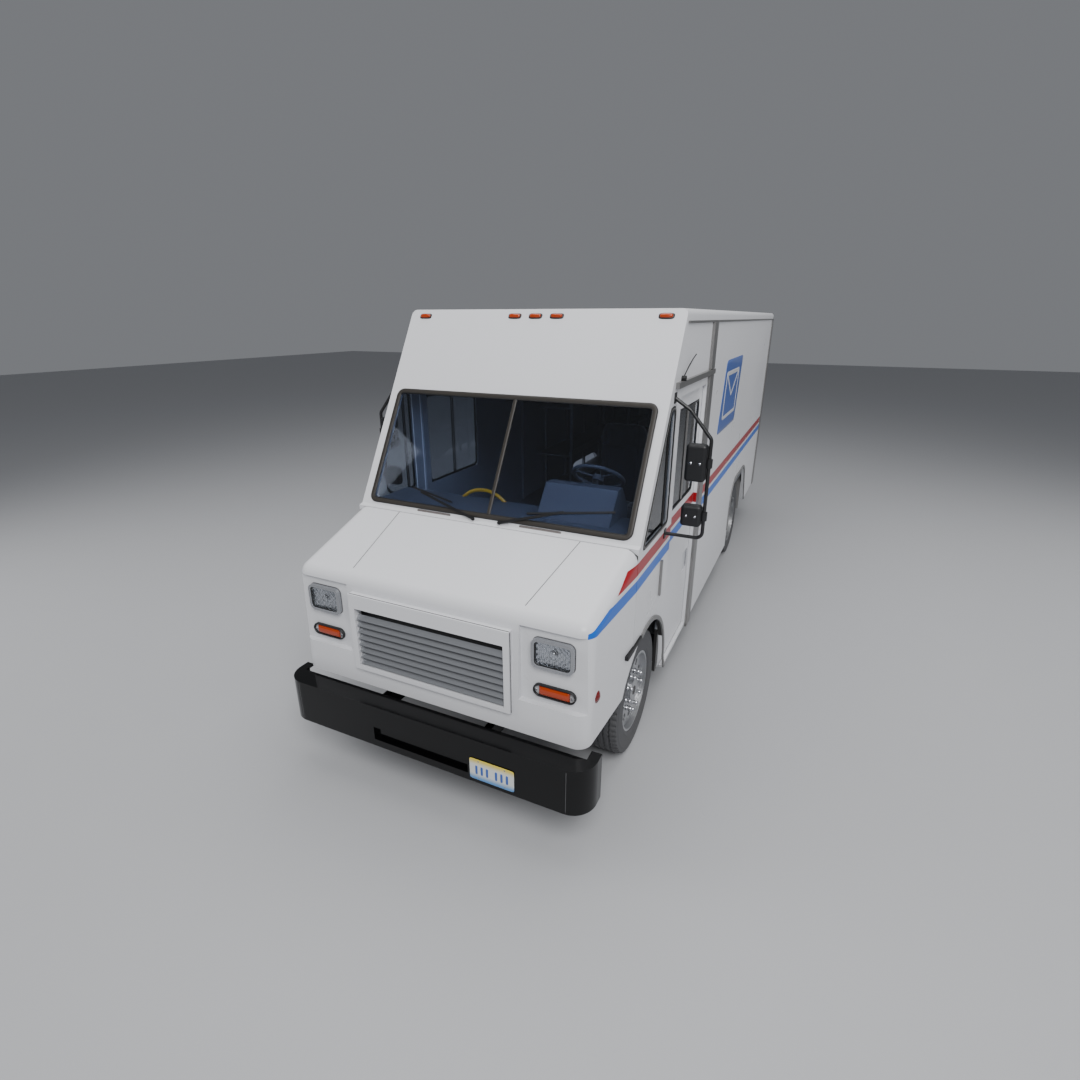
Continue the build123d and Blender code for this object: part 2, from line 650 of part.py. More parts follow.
def shelves():
    """Racks along both cargo walls: uprights on the floor and two boards a side."""
    deep = 420
    wall = INNER - RIB_DEPTH
    start, end = CARGO_FRONT_Y + 1000, REAR_WALL_Y - 250
    racks = Part()
    for z in (1500, 2050):
        racks += block((wall - deep, wall), (start, end), (z, z + 20))
        racks += block((wall - deep, wall - deep + 12), (start, end), (z + 20, z + 70))
    for number in range(4):
        y = start + 20 + (end - start - 40) * number / 3
        racks += block((wall - deep - 30, wall - deep), around(y, 40), (FLOOR_TOP, 2500))
    return both(racks)


def grab_handle():
    """A curved rail for the rider, standing on the rear edge of the dash shelf."""
    y = CAB_FRONT_Y + SKIN + DASH_DEPTH - 20
    left, right, sunk = -482, -85, 20
    start = (left, y, DASH_TOP - sunk)
    path = ThreePointArc(start, ((left + right) / 2, y, DASH_TOP + 70), (right, y, DASH_TOP - sunk))
    tube = sweep(Plane(origin=start, z_dir=path % 0) * Circle(14), path=path)
    return tube - block((left - 60, right + 60), around(y, 80), (DASH_TOP - 90, DASH_TOP))


# Sliding and hinged doors


def door():
    """The left sliding leaf, behind the wall, with its window and recessed handle."""
    outer = INNER - SLIDING
    leaf = block(
        (outer - DOOR_THICK, outer),
        (DOOR_OPEN_FRONT - DOOR_LAP, DOOR_OPEN_REAR + DOOR_LAP),
        (DOOR_SILL_Z + 7, DOOR_HEAD_Z + 15),
    )
    leaf -= door_window((outer - 100, outer + 1))
    leaf -= block((outer - 12, outer + 1), around(DOOR_OPEN_REAR - 170, 110), around(1022, 190))
    leaf += block((outer - 13, outer - 3), around(DOOR_OPEN_REAR - 170, 24), around(1022, 191))
    return leaf


def door_window(x_span):
    return block(x_span, (DOOR_OPEN_FRONT + 40, DOOR_OPEN_REAR - 90), (1665, 2425))


def door_glass():
    outer = INNER - SLIDING
    return door_window((outer - 16, outer - 8))


def rear_door():
    """The left rear leaf, with a window opening and three hinge barrels."""
    y_span = (REAR_WALL_Y + SLIDING, REAR_WALL_Y + REAR_DOOR_THICK)
    leaf = block((2, REAR_DOOR_HALF), y_span, (FLOOR_TOP - 20, REAR_DOOR_TOP))
    leaf -= block((220, 650), (REAR_WALL_Y, REAR), (1950, 2450))
    leaf += block((220, 650), (REAR_WALL_Y + 10, REAR_WALL_Y + 16), (1950, 2450))
    for z in hinge_heights():
        centre = (REAR_DOOR_HALF + 14, HINGE_Y, z)
        strap_x = (REAR_DOOR_HALF - 90, REAR_DOOR_HALF + 14)
        strap = block(strap_x, (y_span[1], y_span[1] + 6), around(z, HINGE_LENGTH))
        leaf += strap + rod("z", centre, HINGE_R, HINGE_LENGTH)
        leaf -= rod("z", centre, HINGE_PIN_R + RUNNING, HINGE_LENGTH + 2)
    return leaf


def rear_door_right():
    x, y, z = LATCH
    bore = rod("y", (x, y, z), LATCH_R + RUNNING, 40)
    return mirror(rear_door(), Plane.YZ) - bore


def rear_latch_handle():
    x, y, z = LATCH
    shaft = rod("y", (x, y - 2, z), LATCH_R, 24)
    boss = rod("y", (x, y + 16, z), 24, 20)
    grip = block(around(x, 26), (y + 14, y + 26), (z - 150, z))
    return shaft + boss + grip


# Tilting hood and what it carries


def hood_volume(side, nose, top, radius):
    """The rounded wedge of the hood, brought in by the skin at its sides, nose and top."""
    rear_z = HOOD_BROW_Z + (COWL_Z - HOOD_BROW_Z) * (HOOD_REAR_Y - HOOD_BROW_Y) / (COWL_Y - HOOD_BROW_Y)
    over = 200 if side else 0
    profile = [
        (HOOD_FACE_Y + nose, HOOD_BOTTOM_Z - over),
        (HOOD_BROW_Y + nose, HOOD_BROW_Z - top),
        (HOOD_REAR_Y, rear_z - top),
        (HOOD_REAR_Y + over, rear_z - top),
        (HOOD_REAR_Y + over, HOOD_BOTTOM_Z - over),
    ]
    if not over:
        profile = [profile[0], profile[1], profile[2], (HOOD_REAR_Y, HOOD_BOTTOM_Z)]
    wedge = prism_x(profile, (-2 * HALF_WIDTH, 2 * HALF_WIDTH))
    front_y = HOOD_FACE_Y - 20
    rear_y = HOOD_REAR_Y + over
    grow = (HALF_WIDTH - HOOD_FRONT_HALF) / (HOOD_REAR_Y - front_y)
    rear_half = HOOD_FRONT_HALF + grow * (rear_y - front_y) - side
    front_half = HOOD_FRONT_HALF - side
    plan = [(-rear_half, rear_y), (-front_half, front_y), (front_half, front_y), (rear_half, rear_y)]
    solid = wedge & prism_z(plan, (HOOD_BOTTOM_Z - 300, COWL_Z + 300))
    brow_y = HOOD_BROW_Y + nose
    rounded = []
    for edge in solid.edges():
        middle = edge.center()
        at_side = abs(middle.X) > front_half - 60
        over_the_top = middle.Z > HOOD_BROW_Z - top - 20
        along = brow_y + 5 < middle.Y < HOOD_REAR_Y + over / 2 + 1
        top_side = at_side and over_the_top and along
        upright = at_side and middle.Y < brow_y and HOOD_BOTTOM_Z < middle.Z < HOOD_BROW_Z - top - 50
        brow = abs(middle.X) < 1 and abs(middle.Y - brow_y) < 2 and middle.Z > HOOD_BOTTOM_Z + 200
        if top_side or upright or brow:
            rounded.append(edge)
    return fillet(rounded, radius)


def hood_shell():
    shell = hood_volume(0, 0, 0, HOOD_RADIUS)
    shell -= hood_volume(HOOD_SKIN, HOOD_NOSE_SKIN, HOOD_SKIN, HOOD_RADIUS - HOOD_SKIN)
    shell -= rod("x", (0, FRONT_AXLE_Y, TYRE_R), FRONT_ARCH_R, 4 * HALF_WIDTH)
    shell -= both(block((629, 2 * HALF_WIDTH), (FRONT, POCKET_Y), (933, 1420)))
    shell -= block((-560, 560), (FRONT, HOOD_BROW_Y + 60), (LOUVRE_BOTTOM - 10, LOUVRE_TOP + 10))
    ear_x = (RAIL_X + 23, RAIL_X + 43)
    ear = block(ear_x, (HOOD_FACE_Y + 30, HOOD_HINGE_Y + 14), (HOOD_HINGE_Z - 12, HOOD_HINGE_Z + 100))
    shell += both(ear)
    return shell - rod("x", (0, HOOD_HINGE_Y, HOOD_HINGE_Z), HOOD_PIN_R + RUNNING, 2 * RAIL_X + 200)


def grille_louvres():
    face = FRONT + 139
    back = HOOD_BROW_Y
    frame = block((-GRILLE_HALF, GRILLE_HALF), (face, back), (GRILLE_BOTTOM, GRILLE_TOP))
    frame -= block((-LOUVRE_HALF, LOUVRE_HALF), (face - 1, back + 1), (LOUVRE_BOTTOM, LOUVRE_TOP))
    count = int((LOUVRE_TOP - LOUVRE_BOTTOM) / LOUVRE_PITCH)
    for number in range(count):
        z = LOUVRE_BOTTOM + LOUVRE_PITCH * (number + 0.5)
        slat = Box(2 * LOUVRE_HALF + 8, LOUVRE_DEPTH, 5)
        frame += Pos(0, face + 24, z) * Rot(LOUVRE_TILT, 0, 0) * slat
    return frame - hood_shell()


def rounded_plate(x, z, width, height, radius, y_span):
    """A rounded rectangle that faces forwards."""
    face = Plane.XZ.offset(-y_span[1]) * Pos(x, z) * RectangleRounded(width, height, radius)
    return extrude(face, y_span[1] - y_span[0])


def headlight_bezels():
    ring = rounded_plate(LAMP_X, HEADLIGHT_Z, 261, 187, 40, (POCKET_Y - 30, POCKET_Y))
    ring -= rounded_plate(LAMP_X, HEADLIGHT_Z, 223, 150, 24, (POCKET_Y - 40, POCKET_Y + 10))
    return both(ring)


def headlight_lenses():
    return both(rounded_plate(LAMP_X, HEADLIGHT_Z, 223, 150, 24, (POCKET_Y - 24, POCKET_Y)))


def signal_lamps():
    lamp = rounded_plate(LAMP_X, SIGNAL_Z, 269, 83, 41, (POCKET_Y - 20, POCKET_Y))
    marker = rod("x", (HOOD_FRONT_HALF + 12, FRONT + 303, 1000), 38, 20)
    return both(lamp) + (both(marker) - hood_volume(0, 0, 0, HOOD_RADIUS))


def hood_latches():
    """Rubber straps that hold the hood to the cab; they turn with the hood."""
    base = block((HALF_WIDTH - 8, HALF_WIDTH + 16), (FRONT + 736, HOOD_REAR_Y), (1000, 1030))
    strap_x = (HALF_WIDTH + SIDE_GAP, HALF_WIDTH + 16)
    strap = block(strap_x, (HOOD_REAR_Y - 1, FRONT + 1045), (1004, 1026))
    return both(base + strap) - hood_volume(0, 0, 0, HOOD_RADIUS)


# Wheels


def tyre(x):
    """One hollow tyre about the wheel's own axis, with four grooves round its tread."""
    half = TYRE_WIDTH / 2
    body = Pos(x, 0, 0) * Rot(0, 90, 0) * Cylinder(TYRE_R, TYRE_WIDTH)
    body = fillet(body.edges(), 32)
    body -= Pos(x, 0, 0) * Rot(0, 90, 0) * Cylinder(RIM_R, TYRE_WIDTH + 2)
    body -= Pos(x, 0, 0) * Rot(0, 90, 0) * Cylinder(TYRE_R - TYRE_WALL, TYRE_WIDTH - 2 * TYRE_WALL)
    for share in (-0.5, -0.17, 0.17, 0.5):
        groove = Rot(0, 90, 0) * (Cylinder(TYRE_R + 1, 9) - Cylinder(TYRE_R - 12, 9))
        body -= Pos(x + half * share, 0, 0) * groove
    return body


def rim_barrel(x, disc_at, out):
    """Barrel and disc of one rim; disc_at is the disc's place along the axle and out its facing."""
    turn = Rot(0, 90, 0)
    barrel = Pos(x, 0, 0) * turn * (Cylinder(RIM_R, TYRE_WIDTH - 30) - Cylinder(RIM_R - 18, TYRE_WIDTH))
    neck = Cylinder(RIM_R - 17, abs(x - disc_at)) - Cylinder(RIM_R - 30, abs(x - disc_at) + 1)
    barrel += Pos((x + disc_at) / 2, 0, 0) * turn * neck
    disc = Pos(disc_at, 0, 0) * turn * Cylinder(RIM_R - 17, 14)
    for number in range(10):
        hole = Rot(number * 36, 0, 0) * Pos(disc_at, 0, 205) * turn * Cylinder(28, 40)
        disc -= hole
        nut = Rot(number * 36 + 18, 0, 0) * Pos(disc_at + out * 24, 0, 143) * turn * Cylinder(15, 48)
        disc += nut
    return barrel + disc


def front_rim():
    """Front left rim, turning on the knuckle's spindle."""
    disc_at = WHEEL_X + 70
    rim = rim_barrel(WHEEL_X, disc_at, 1)
    rim += Pos(disc_at, 0, 0) * Rot(0, 90, 0) * Cylinder(95, 70)
    bore = Pos(disc_at - 20, 0, 0) * Rot(0, 90, 0) * Cylinder(SPINDLE_R + RUNNING, 80)
    return Pos(0, FRONT_AXLE_Y, TYRE_R) * (rim - bore)


def rear_rims():
    """Pair of left rear rims bolted together, turning on the axle's spindle."""
    disc_at = WHEEL_X - DUAL_SPACING / 2
    rims = rim_barrel(WHEEL_X, disc_at + 7, 1) + rim_barrel(WHEEL_X - DUAL_SPACING, disc_at - 7, 1)
    rims += Pos(disc_at + 60, 0, 0) * Rot(0, 90, 0) * Cylinder(110, 140)
    bore = Pos(disc_at + 62, 0, 0) * Rot(0, 90, 0) * Cylinder(REAR_SPINDLE_R + RUNNING, 260)
    reach = WHEEL_X + 40 + 20 - (disc_at - 10)
    cap = Pos(disc_at + 130 - 5, 0, 0) * Rot(0, 90, 0) * Cylinder(110, 10)
    middle = disc_at - 10 + reach / 2
    rims += Pos(middle, 0, 0) * Rot(0, 90, 0) * Cylinder(80, reach) + cap
    return Pos(0, REAR_AXLE_Y, TYRE_R) * (rims - bore)


def front_tyre():
    return Pos(0, FRONT_AXLE_Y, TYRE_R) * tyre(WHEEL_X)


def rear_tyres():
    return Pos(0, REAR_AXLE_Y, TYRE_R) * (tyre(WHEEL_X) + tyre(WHEEL_X - DUAL_SPACING))


def knuckle():
    """Left steering knuckle: two plates and a pin round the beam's eye, and the wheel's spindle."""
    pin = rod("z", (KINGPIN_X, FRONT_AXLE_Y, 405), KINGPIN_R, 120)
    ears = Part()
    for z in (405 + 35 + SIDE_GAP + 10, 405 - 35 - SIDE_GAP - 10):
        ears += rod("z", (KINGPIN_X, FRONT_AXLE_Y, z), 44, 20)
        ears += block((KINGPIN_X, KINGPIN_X + 90), around(FRONT_AXLE_Y, 70), around(z, 20))
    plate = block((KINGPIN_X + 60, KINGPIN_X + 90), around(FRONT_AXLE_Y, 100), (349, 510))
    spindle = rod("x", (KINGPIN_X + 110, FRONT_AXLE_Y, TYRE_R), SPINDLE_R, 100)
    return pin + ears + plate + spindle


# Mirrors and wipers


def mirror_bracket():
    """Left tube: out from the body, down past both heads and back in."""
    y = MIRROR_Y
    x = MIRROR_TUBE_X
    path = Polyline(
        (HALF_WIDTH, y, 2543), (HALF_WIDTH + 110, y, 2470), (x, y, 2290),
        (x, y, 1600), (HALF_WIDTH, y, 1600),
    )
    path = fillet(path.vertices()[1:4], 45)
    start = Plane(origin=(HALF_WIDTH, y, 2543), z_dir=(110, 0, -73))
    tube = sweep(start * Circle(TUBE_R), path=path)
    feet = Part()
    for z in (2543, 1600):
        feet += block((HALF_WIDTH, HALF_WIDTH + 6), around(y, 50), around(z, 70))
    return tube - block((0, HALF_WIDTH), around(y, 100), (1400, 2700)) + feet


def mirror_head(middle_z, height):
    """A left mirror head that turns round its tube on a clamp."""
    y = MIRROR_Y
    x = MIRROR_TUBE_X
    shell = block((x - 154, x - 14), (y - 45, y + 35), around(middle_z, height))
    shell = fillet(shell.edges(), 24)
    clamp = rod("z", (x, y, middle_z), 22, 60) + block((x - 30, x), around(y, 30), around(middle_z, 60))
    return shell + clamp - rod("z", (x, y, middle_z), TUBE_R + RUNNING, height + 20)


def wiper(side, reach, rise, blade_in, blade_out, blade_low, blade_high):
    """A wiper at rest; the arm runs from its pin to a blade that leans along the glass."""
    pivot = (side * 104, WIPER_PIVOT_UP)
    pin = Pos(pivot[0], pivot[1], 2) * Cylinder(WIPER_PIN_R, 44)
    hub = Pos(pivot[0], pivot[1], 18) * Cylinder(12, 12)
    tip = (side * reach, rise)
    arm = bar(pivot, tip, 18, 14, 22)
    blade = bar((side * blade_in, blade_low), (side * blade_out, blade_high), 14, 11, 25)
    return SLOPE * (pin + hub + arm + blade)


def bar(start, end, width, low, high):
    """A flat bar between two points of the raked front."""
    length = math.dist(start, end)
    angle = math.degrees(math.atan2(end[1] - start[1], end[0] - start[0]))
    middle = Pos((start[0] + end[0]) / 2, (start[1] + end[1]) / 2, (low + high) / 2)
    return middle * Rot(0, 0, angle) * Box(length, width, high - low)


def write(name, shape):
    export_step(shape, f"parts/{name}.step")


def write_pair(name, left_shape):
    write(f"{name}_left", left_shape)
    write(f"{name}_right", mirror(left_shape, Plane.YZ))


def main():
    os.makedirs("parts", exist_ok=True)
    write_pair("frame_rail", frame_rail())
    write("crossmembers", crossmembers())
    write("suspension", suspension())
    write("engine", engine())
    write("fuel_tank", fuel_tank())
    write("front_bumper", front_bumper())
    write("rear_bumper", rear_bumper())
    write_pair("side_panel", side_panel())
    write("roof_panel", roof_panel())
    write("cab_front", cab_front())
    write("windshield_frame", windshield_frame())
    write("fixed_glass", fixed_glass())
    write("rear_frame", rear_frame())
    write("cargo_floor", cargo_floor())
    write("cab_floor", cab_floor())
    write("side_trim", side_trim())
    write("wheel_arches", wheel_arches())
    write("body_lamps", body_lamps())
    write("licence_plate", licence_plate())
    write("steering_column", steering_column())
    write("dashboard", dashboard())
    write("steering_wheel", steering_wheel())
    write("brake_pedal", brake_pedal())
    write("gear_selector", gear_selector())
    write("seat_frame", seat_frame())
    write("seat_cushions", seat_cushions())
    write("shelves", shelves())
    write("grab_handle", grab_handle())
    write_pair("door", door())
    write_pair("door_glass", door_glass())
    write("rear_door_left", rear_door())
    write("rear_door_right", rear_door_right())
    write("rear_latch_handle", rear_latch_handle())
    write("hood_shell", hood_shell())
    write("grille_louvres", grille_louvres())
    write("headlight_bezels", headlight_bezels())
    write("headlight_lenses", headlight_lenses())
    write("signal_lamps", signal_lamps())
    write("hood_latches", hood_latches())
    write_pair("front_tyre", front_tyre())
    write_pair("front_rim", front_rim())
    write_pair("rear_tyres", rear_tyres())
    write_pair("rear_rims", rear_rims())
    write_pair("knuckle", knuckle())
    write("mirror_brackets", both(mirror_bracket()))
    write_pair("mirror_upper", mirror_head(UPPER_MIRROR_Z, 254))
    write_pair("mirror_lower", mirror_head(LOWER_MIRROR_Z, 152))
    write("wiper_left", wiper(1, 557, 142, 296, 898, 96, 186))
    write("wiper_right", wiper(-1, 585, 142, 305, 655, 98, 165))


main()
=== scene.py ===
import json
import math

import bpy
import numpy as np
from bpy.props import FloatProperty, FloatVectorProperty, IntProperty, PointerProperty
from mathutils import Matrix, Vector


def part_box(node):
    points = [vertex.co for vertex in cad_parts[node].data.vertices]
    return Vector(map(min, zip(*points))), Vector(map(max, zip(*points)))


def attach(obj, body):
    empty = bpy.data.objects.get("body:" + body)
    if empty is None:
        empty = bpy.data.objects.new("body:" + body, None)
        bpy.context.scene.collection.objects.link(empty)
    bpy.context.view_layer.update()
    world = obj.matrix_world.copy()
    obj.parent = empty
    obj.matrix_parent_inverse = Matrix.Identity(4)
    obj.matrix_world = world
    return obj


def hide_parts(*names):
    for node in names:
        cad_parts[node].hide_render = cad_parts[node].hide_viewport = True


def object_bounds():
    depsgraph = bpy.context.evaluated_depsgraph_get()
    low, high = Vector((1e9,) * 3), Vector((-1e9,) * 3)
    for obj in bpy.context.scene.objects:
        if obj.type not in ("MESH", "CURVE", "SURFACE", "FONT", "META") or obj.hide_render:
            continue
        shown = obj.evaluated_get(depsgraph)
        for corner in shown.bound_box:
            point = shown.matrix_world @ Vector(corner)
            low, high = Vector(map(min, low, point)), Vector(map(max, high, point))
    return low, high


bl_info = {
    "name": "Walk-in mail truck",
    "version": (1, 0, 0),
    "blender": (4, 5, 0),
    "location": "3D View > Sidebar > Mail truck",
    "description": "Paint, glass, tyres, lamps and fittings for a walk-in mail truck",
    "category": "Object",
}

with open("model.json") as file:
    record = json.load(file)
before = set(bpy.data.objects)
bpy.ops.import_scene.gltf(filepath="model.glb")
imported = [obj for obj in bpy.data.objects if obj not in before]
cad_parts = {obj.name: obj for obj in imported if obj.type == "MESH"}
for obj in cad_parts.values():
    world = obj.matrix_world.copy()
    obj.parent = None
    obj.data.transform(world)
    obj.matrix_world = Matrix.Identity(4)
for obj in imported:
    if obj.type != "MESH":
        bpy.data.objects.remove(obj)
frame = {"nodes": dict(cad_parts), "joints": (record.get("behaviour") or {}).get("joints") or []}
CAD_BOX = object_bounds()
JOINTS = {joint["name"]: joint for joint in frame["joints"]}
TAU = 2 * math.pi
SIDES = (("left", 1), ("right", -1))

# Places and sizes on the truck, in metres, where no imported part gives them
SIDE_GLASS_X = 1.03
STRIPE_X = 1.035
STRIPE_TAIL = 0.11
# A stripe's tip: its place along the truck, its height, and its slant
STRIPE_TIPS = ((-3.664, 1.436, 4.5), (-3.273, 1.532, 2.14))
SLAT_HALF, SLAT_LOW, SLAT_HIGH = 0.5445, 0.8625, 1.2825
WHEEL_HOUSE_REACH, WHEEL_HOUSE_TOP = 0.5464, 1.03
FLOOR_HOUSE_REACH, FLOOR_HOUSE_TOP = 0.645, 1.0
RIM_RADIUS, TYRE_WIDTH = 0.299, 0.255
NUT_CIRCLE = 0.143
# Radius and way out of each ring of a hub cap and of a nut sleeve
HUB_PROFILE = ((0.0, 0.004), (0.030, 0.004), (0.036, 0.0), (0.052, -0.006), (0.058, -0.012), (0.072, -0.016),
               (0.078, -0.024), (0.078, -0.034))
NUT_PROFILE = ((0.0, 0.034), (0.011, 0.034), (0.015, 0.028), (0.015, 0.004), (0.019, 0.0), (0.019, -0.012))
SIGNAL_Z = 1.021
MARKER_Z, MARKER_PITCH, MARKER_INSET = 3.046, 0.169, 0.108
REAR_MARKER_Z = 2.96
SCREEN_FOOT = (0.0, -2.916, 1.711)
EMBLEM_Y, EMBLEM_Z = 0.178, 2.318
HANDLE_Z, HANDLE_INSET = 1.03, 0.105
STRIP_SINK = 0.001
HOUSE_BLACK = (0.02, 0.02, 0.021, 1)


# Sizes and colours a user would change


def length(name, description, default):
    """A size in metres."""
    return FloatProperty(name=name, description=description, default=default, unit="LENGTH")


def tint(name, description, default):
    """A colour."""
    return FloatVectorProperty(name=name, description=description, subtype="COLOR", default=default,
                               min=0, max=1)


class BodySizes(bpy.types.PropertyGroup):
    """Sizes of the fittings on the body, in metres."""

    stripe_low: length("Blue stripe foot", "Height of the blue stripe's lower edge", 1.414)
    stripe_blue: length("Blue stripe depth", "Height of the blue stripe", 0.081)
    stripe_gap: length("Stripe gap", "White left between the stripes", 0.031)
    stripe_red: length("Red stripe depth", "Height of the red stripe", 0.086)
    emblem_width: length("Emblem width", "Width of the side emblem", 1.06)
    emblem_height: length("Emblem height", "Height of the side emblem", 0.68)
    rivet_radius: length("Rivet radius", "Radius of a wall rivet's head", 0.006)
    rivet_pitch: length("Rivet pitch", "Distance between wall rivets", 0.085)
    seal_width: length("Seal width", "Width of the rubber round a window", 0.024)
    antenna_radius: length("Antenna radius", "Radius of the antenna's rod", 0.004)


class LampSizes(bpy.types.PropertyGroup):
    """Sizes of the lamps, in metres."""

    head_width: length("Headlight width", "Width of a headlight's lens", 0.223)
    head_height: length("Headlight height", "Height of a headlight's lens", 0.150)
    flutes: IntProperty(name="Flutes", description="Upright flutes across a headlight lens", default=17)
    signal_width: length("Signal width", "Length of a turn signal", 0.269)
    signal_height: length("Signal height", "Height of a turn signal", 0.083)
    marker_width: length("Marker width", "Length of a marker lamp", 0.093)
    marker_height: length("Marker height", "Height of a marker lamp", 0.032)


class WheelSizes(bpy.types.PropertyGroup):
    """Sizes of the tyres, in metres."""

    tread_depth: length("Tread depth", "Depth of the tread's grooves", 0.012)
    tread_blocks: IntProperty(name="Tread blocks", description="Blocks round the tread", default=60)
    round_steps: IntProperty(name="Steps round", description="Steps round a tyre", default=360)
    section_steps: IntProperty(name="Tread steps", description="Steps across the tread", default=61)


class Colours(bpy.types.PropertyGroup):
    """Colours of the truck."""

    white: tint("Body white", "Body paint", (0.70, 0.705, 0.73))
    red: tint("Stripe red", "Red stripe", (0.34, 0.006, 0.012))
    blue: tint("Stripe blue", "Blue stripe", (0.006, 0.12, 0.56))
    emblem: tint("Emblem blue", "Side emblem", (0.025, 0.10, 0.42))
    amber: tint("Lamp amber", "Amber lenses", (0.40, 0.040, 0.003))
    lamp_red: tint("Lamp red", "Red lenses", (0.15, 0.006, 0.006))
    glass: tint("Glass tint", "Tint of the windows", (0.44, 0.49, 0.60))
    side_glass: tint("Side glass tint", "Tint of the side windows", (0.40, 0.43, 0.46))
    # Painted shade: this grey stands in for the dim light inside the cab and the cargo space.
    interior_shade_grey: tint("Cab grey", "Paint inside the cab and the cargo space", (0.30, 0.32, 0.36))
    dust: tint("Road dust", "Dust low on the truck", (0.30, 0.28, 0.25))


# Shader node groups


def link_chain(tree, *pairs):
    """Joins output and input sockets in pairs."""
    for output, entry in pairs:
        tree.links.new(output, entry)


def add_node(tree, kind, **settings):
    """A shader node with its own settings; an input is set by its name in the values setting."""
    node = tree.nodes.new(kind)
    for key, value in settings.pop("values", {}).items():
        node.inputs[key].default_value = value
    for key, value in settings.items():
        setattr(node, key, value)
    return node


def math_node(tree, operation, first, second=None, third=None):
    """A maths node on sockets or plain numbers; gives its output."""
    node = add_node(tree, "ShaderNodeMath", operation=operation)
    for slot, value in zip(node.inputs, (first, second, third)):
        if value is None:
            continue
        if isinstance(value, (int, float)):
            slot.default_value = value
        else:
            tree.links.new(value, slot)
    return node.outputs[0]


def mix_colours(tree, share, first, second):
    """Mixes two colours, each a socket or a plain colour, by a share; gives the result's socket."""
    node = add_node(tree, "ShaderNodeMix", data_type="RGBA")
    tree.links.new(share, next(slot for slot in node.inputs if slot.identifier == "Factor_Float"))
    for identifier, colour in (("A_Color", first), ("B_Color", second)):
        slot = next(slot for slot in node.inputs if slot.identifier == identifier)
        if isinstance(colour, tuple):
            slot.default_value = colour
        else:
            tree.links.new(colour, slot)
    return next(slot for slot in node.outputs if slot.identifier == "Result_Color")


def object_axes(tree):
    """The object coordinates, split into their three axes."""
    place = add_node(tree, "ShaderNodeTexCoord")
    split = add_node(tree, "ShaderNodeSeparateXYZ")
    tree.links.new(place.outputs["Object"], split.inputs[0])
    return split


def new_group(name, entries, results):
    """An empty shader group with its named sockets, and its two end nodes."""
    group = bpy.data.node_groups.new(name, "ShaderNodeTree")
    for label, kind, value in entries:
        socket = group.interface.new_socket(label, in_out="INPUT", socket_type=kind)
        if value is not None:
            socket.default_value = value
    for label, kind in results:
        group.interface.new_socket(label, in_out="OUTPUT", socket_type=kind)
    start = group.nodes.new("NodeGroupInput")
    end = group.nodes.new("NodeGroupOutput")
    return group, start, end


def grain_group():
    """Fine grain: noise on object coordinates as a bump, with the same noise as a value."""
    group, start, end = new_group(
        "grain",
        [("Scale", "NodeSocketFloat", 200.0), ("Depth", "NodeSocketFloat", 0.1)],
        [("Value", "NodeSocketFloat"), ("Normal", "NodeSocketVector")],
    )
    place = add_node(group, "ShaderNodeTexCoord")
    noise = add_node(group, "ShaderNodeTexNoise", values={"Detail": 4.0, "Roughness": 0.55})
    bump = add_node(group, "ShaderNodeBump", values={"Distance": 0.001})
    link_chain(
        group,
        (place.outputs["Object"], noise.inputs["Vector"]),
        (start.outputs["Scale"], noise.inputs["Scale"]),
        (noise.outputs["Fac"], bump.inputs["Height"]),
        (start.outputs["Depth"], bump.inputs["Strength"]),
        (noise.outputs["Fac"], end.inputs["Value"]),
        (bump.outputs["Normal"], end.inputs["Normal"]),
    )
    return group


def dust_group():
    """Road dust: thick near the ground and broken up by noise, fading with height."""
    group, start, end = new_group(
        "road dust",
        [
            ("Color", "NodeSocketColor", (0.8, 0.8, 0.8, 1)),
            ("Dust", "NodeSocketColor", (0.3, 0.28, 0.25, 1)),
            ("Fade Height", "NodeSocketFloat", 1.1),
            ("Amount", "NodeSocketFloat", 0.5),
        ],
        [("Color", "NodeSocketColor"), ("Mask", "NodeSocketFloat")],
    )
    place = add_node(group, "ShaderNodeTexCoord")
    split = add_node(group, "ShaderNodeSeparateXYZ")
    broad = add_node(group, "ShaderNodeTexNoise", values={"Scale": 2.2, "Detail": 7.0, "Roughness": 0.65})
    link_chain(
        group,
        (place.outputs["Object"], split.inputs[0]),
        (place.outputs["Object"], broad.inputs["Vector"]),
    )
    share = math_node(group, "DIVIDE", split.outputs["Z"], start.outputs["Fade Height"])
    low = math_node(group, "SUBTRACT", 1.0, share)
    low = math_node(group, "MAXIMUM", low, 0.03)
    patch = math_node(group, "MULTIPLY", low, broad.outputs["Fac"])
    mask = math_node(group, "MULTIPLY", patch, start.outputs["Amount"])
    mask = math_node(group, "MINIMUM", mask, 1.0)
    mixed = mix_colours(group, mask, start.outputs["Color"], start.outputs["Dust"])
    link_chain(group, (mixed, end.inputs["Color"]), (mask, end.inputs["Mask"]))
    return group


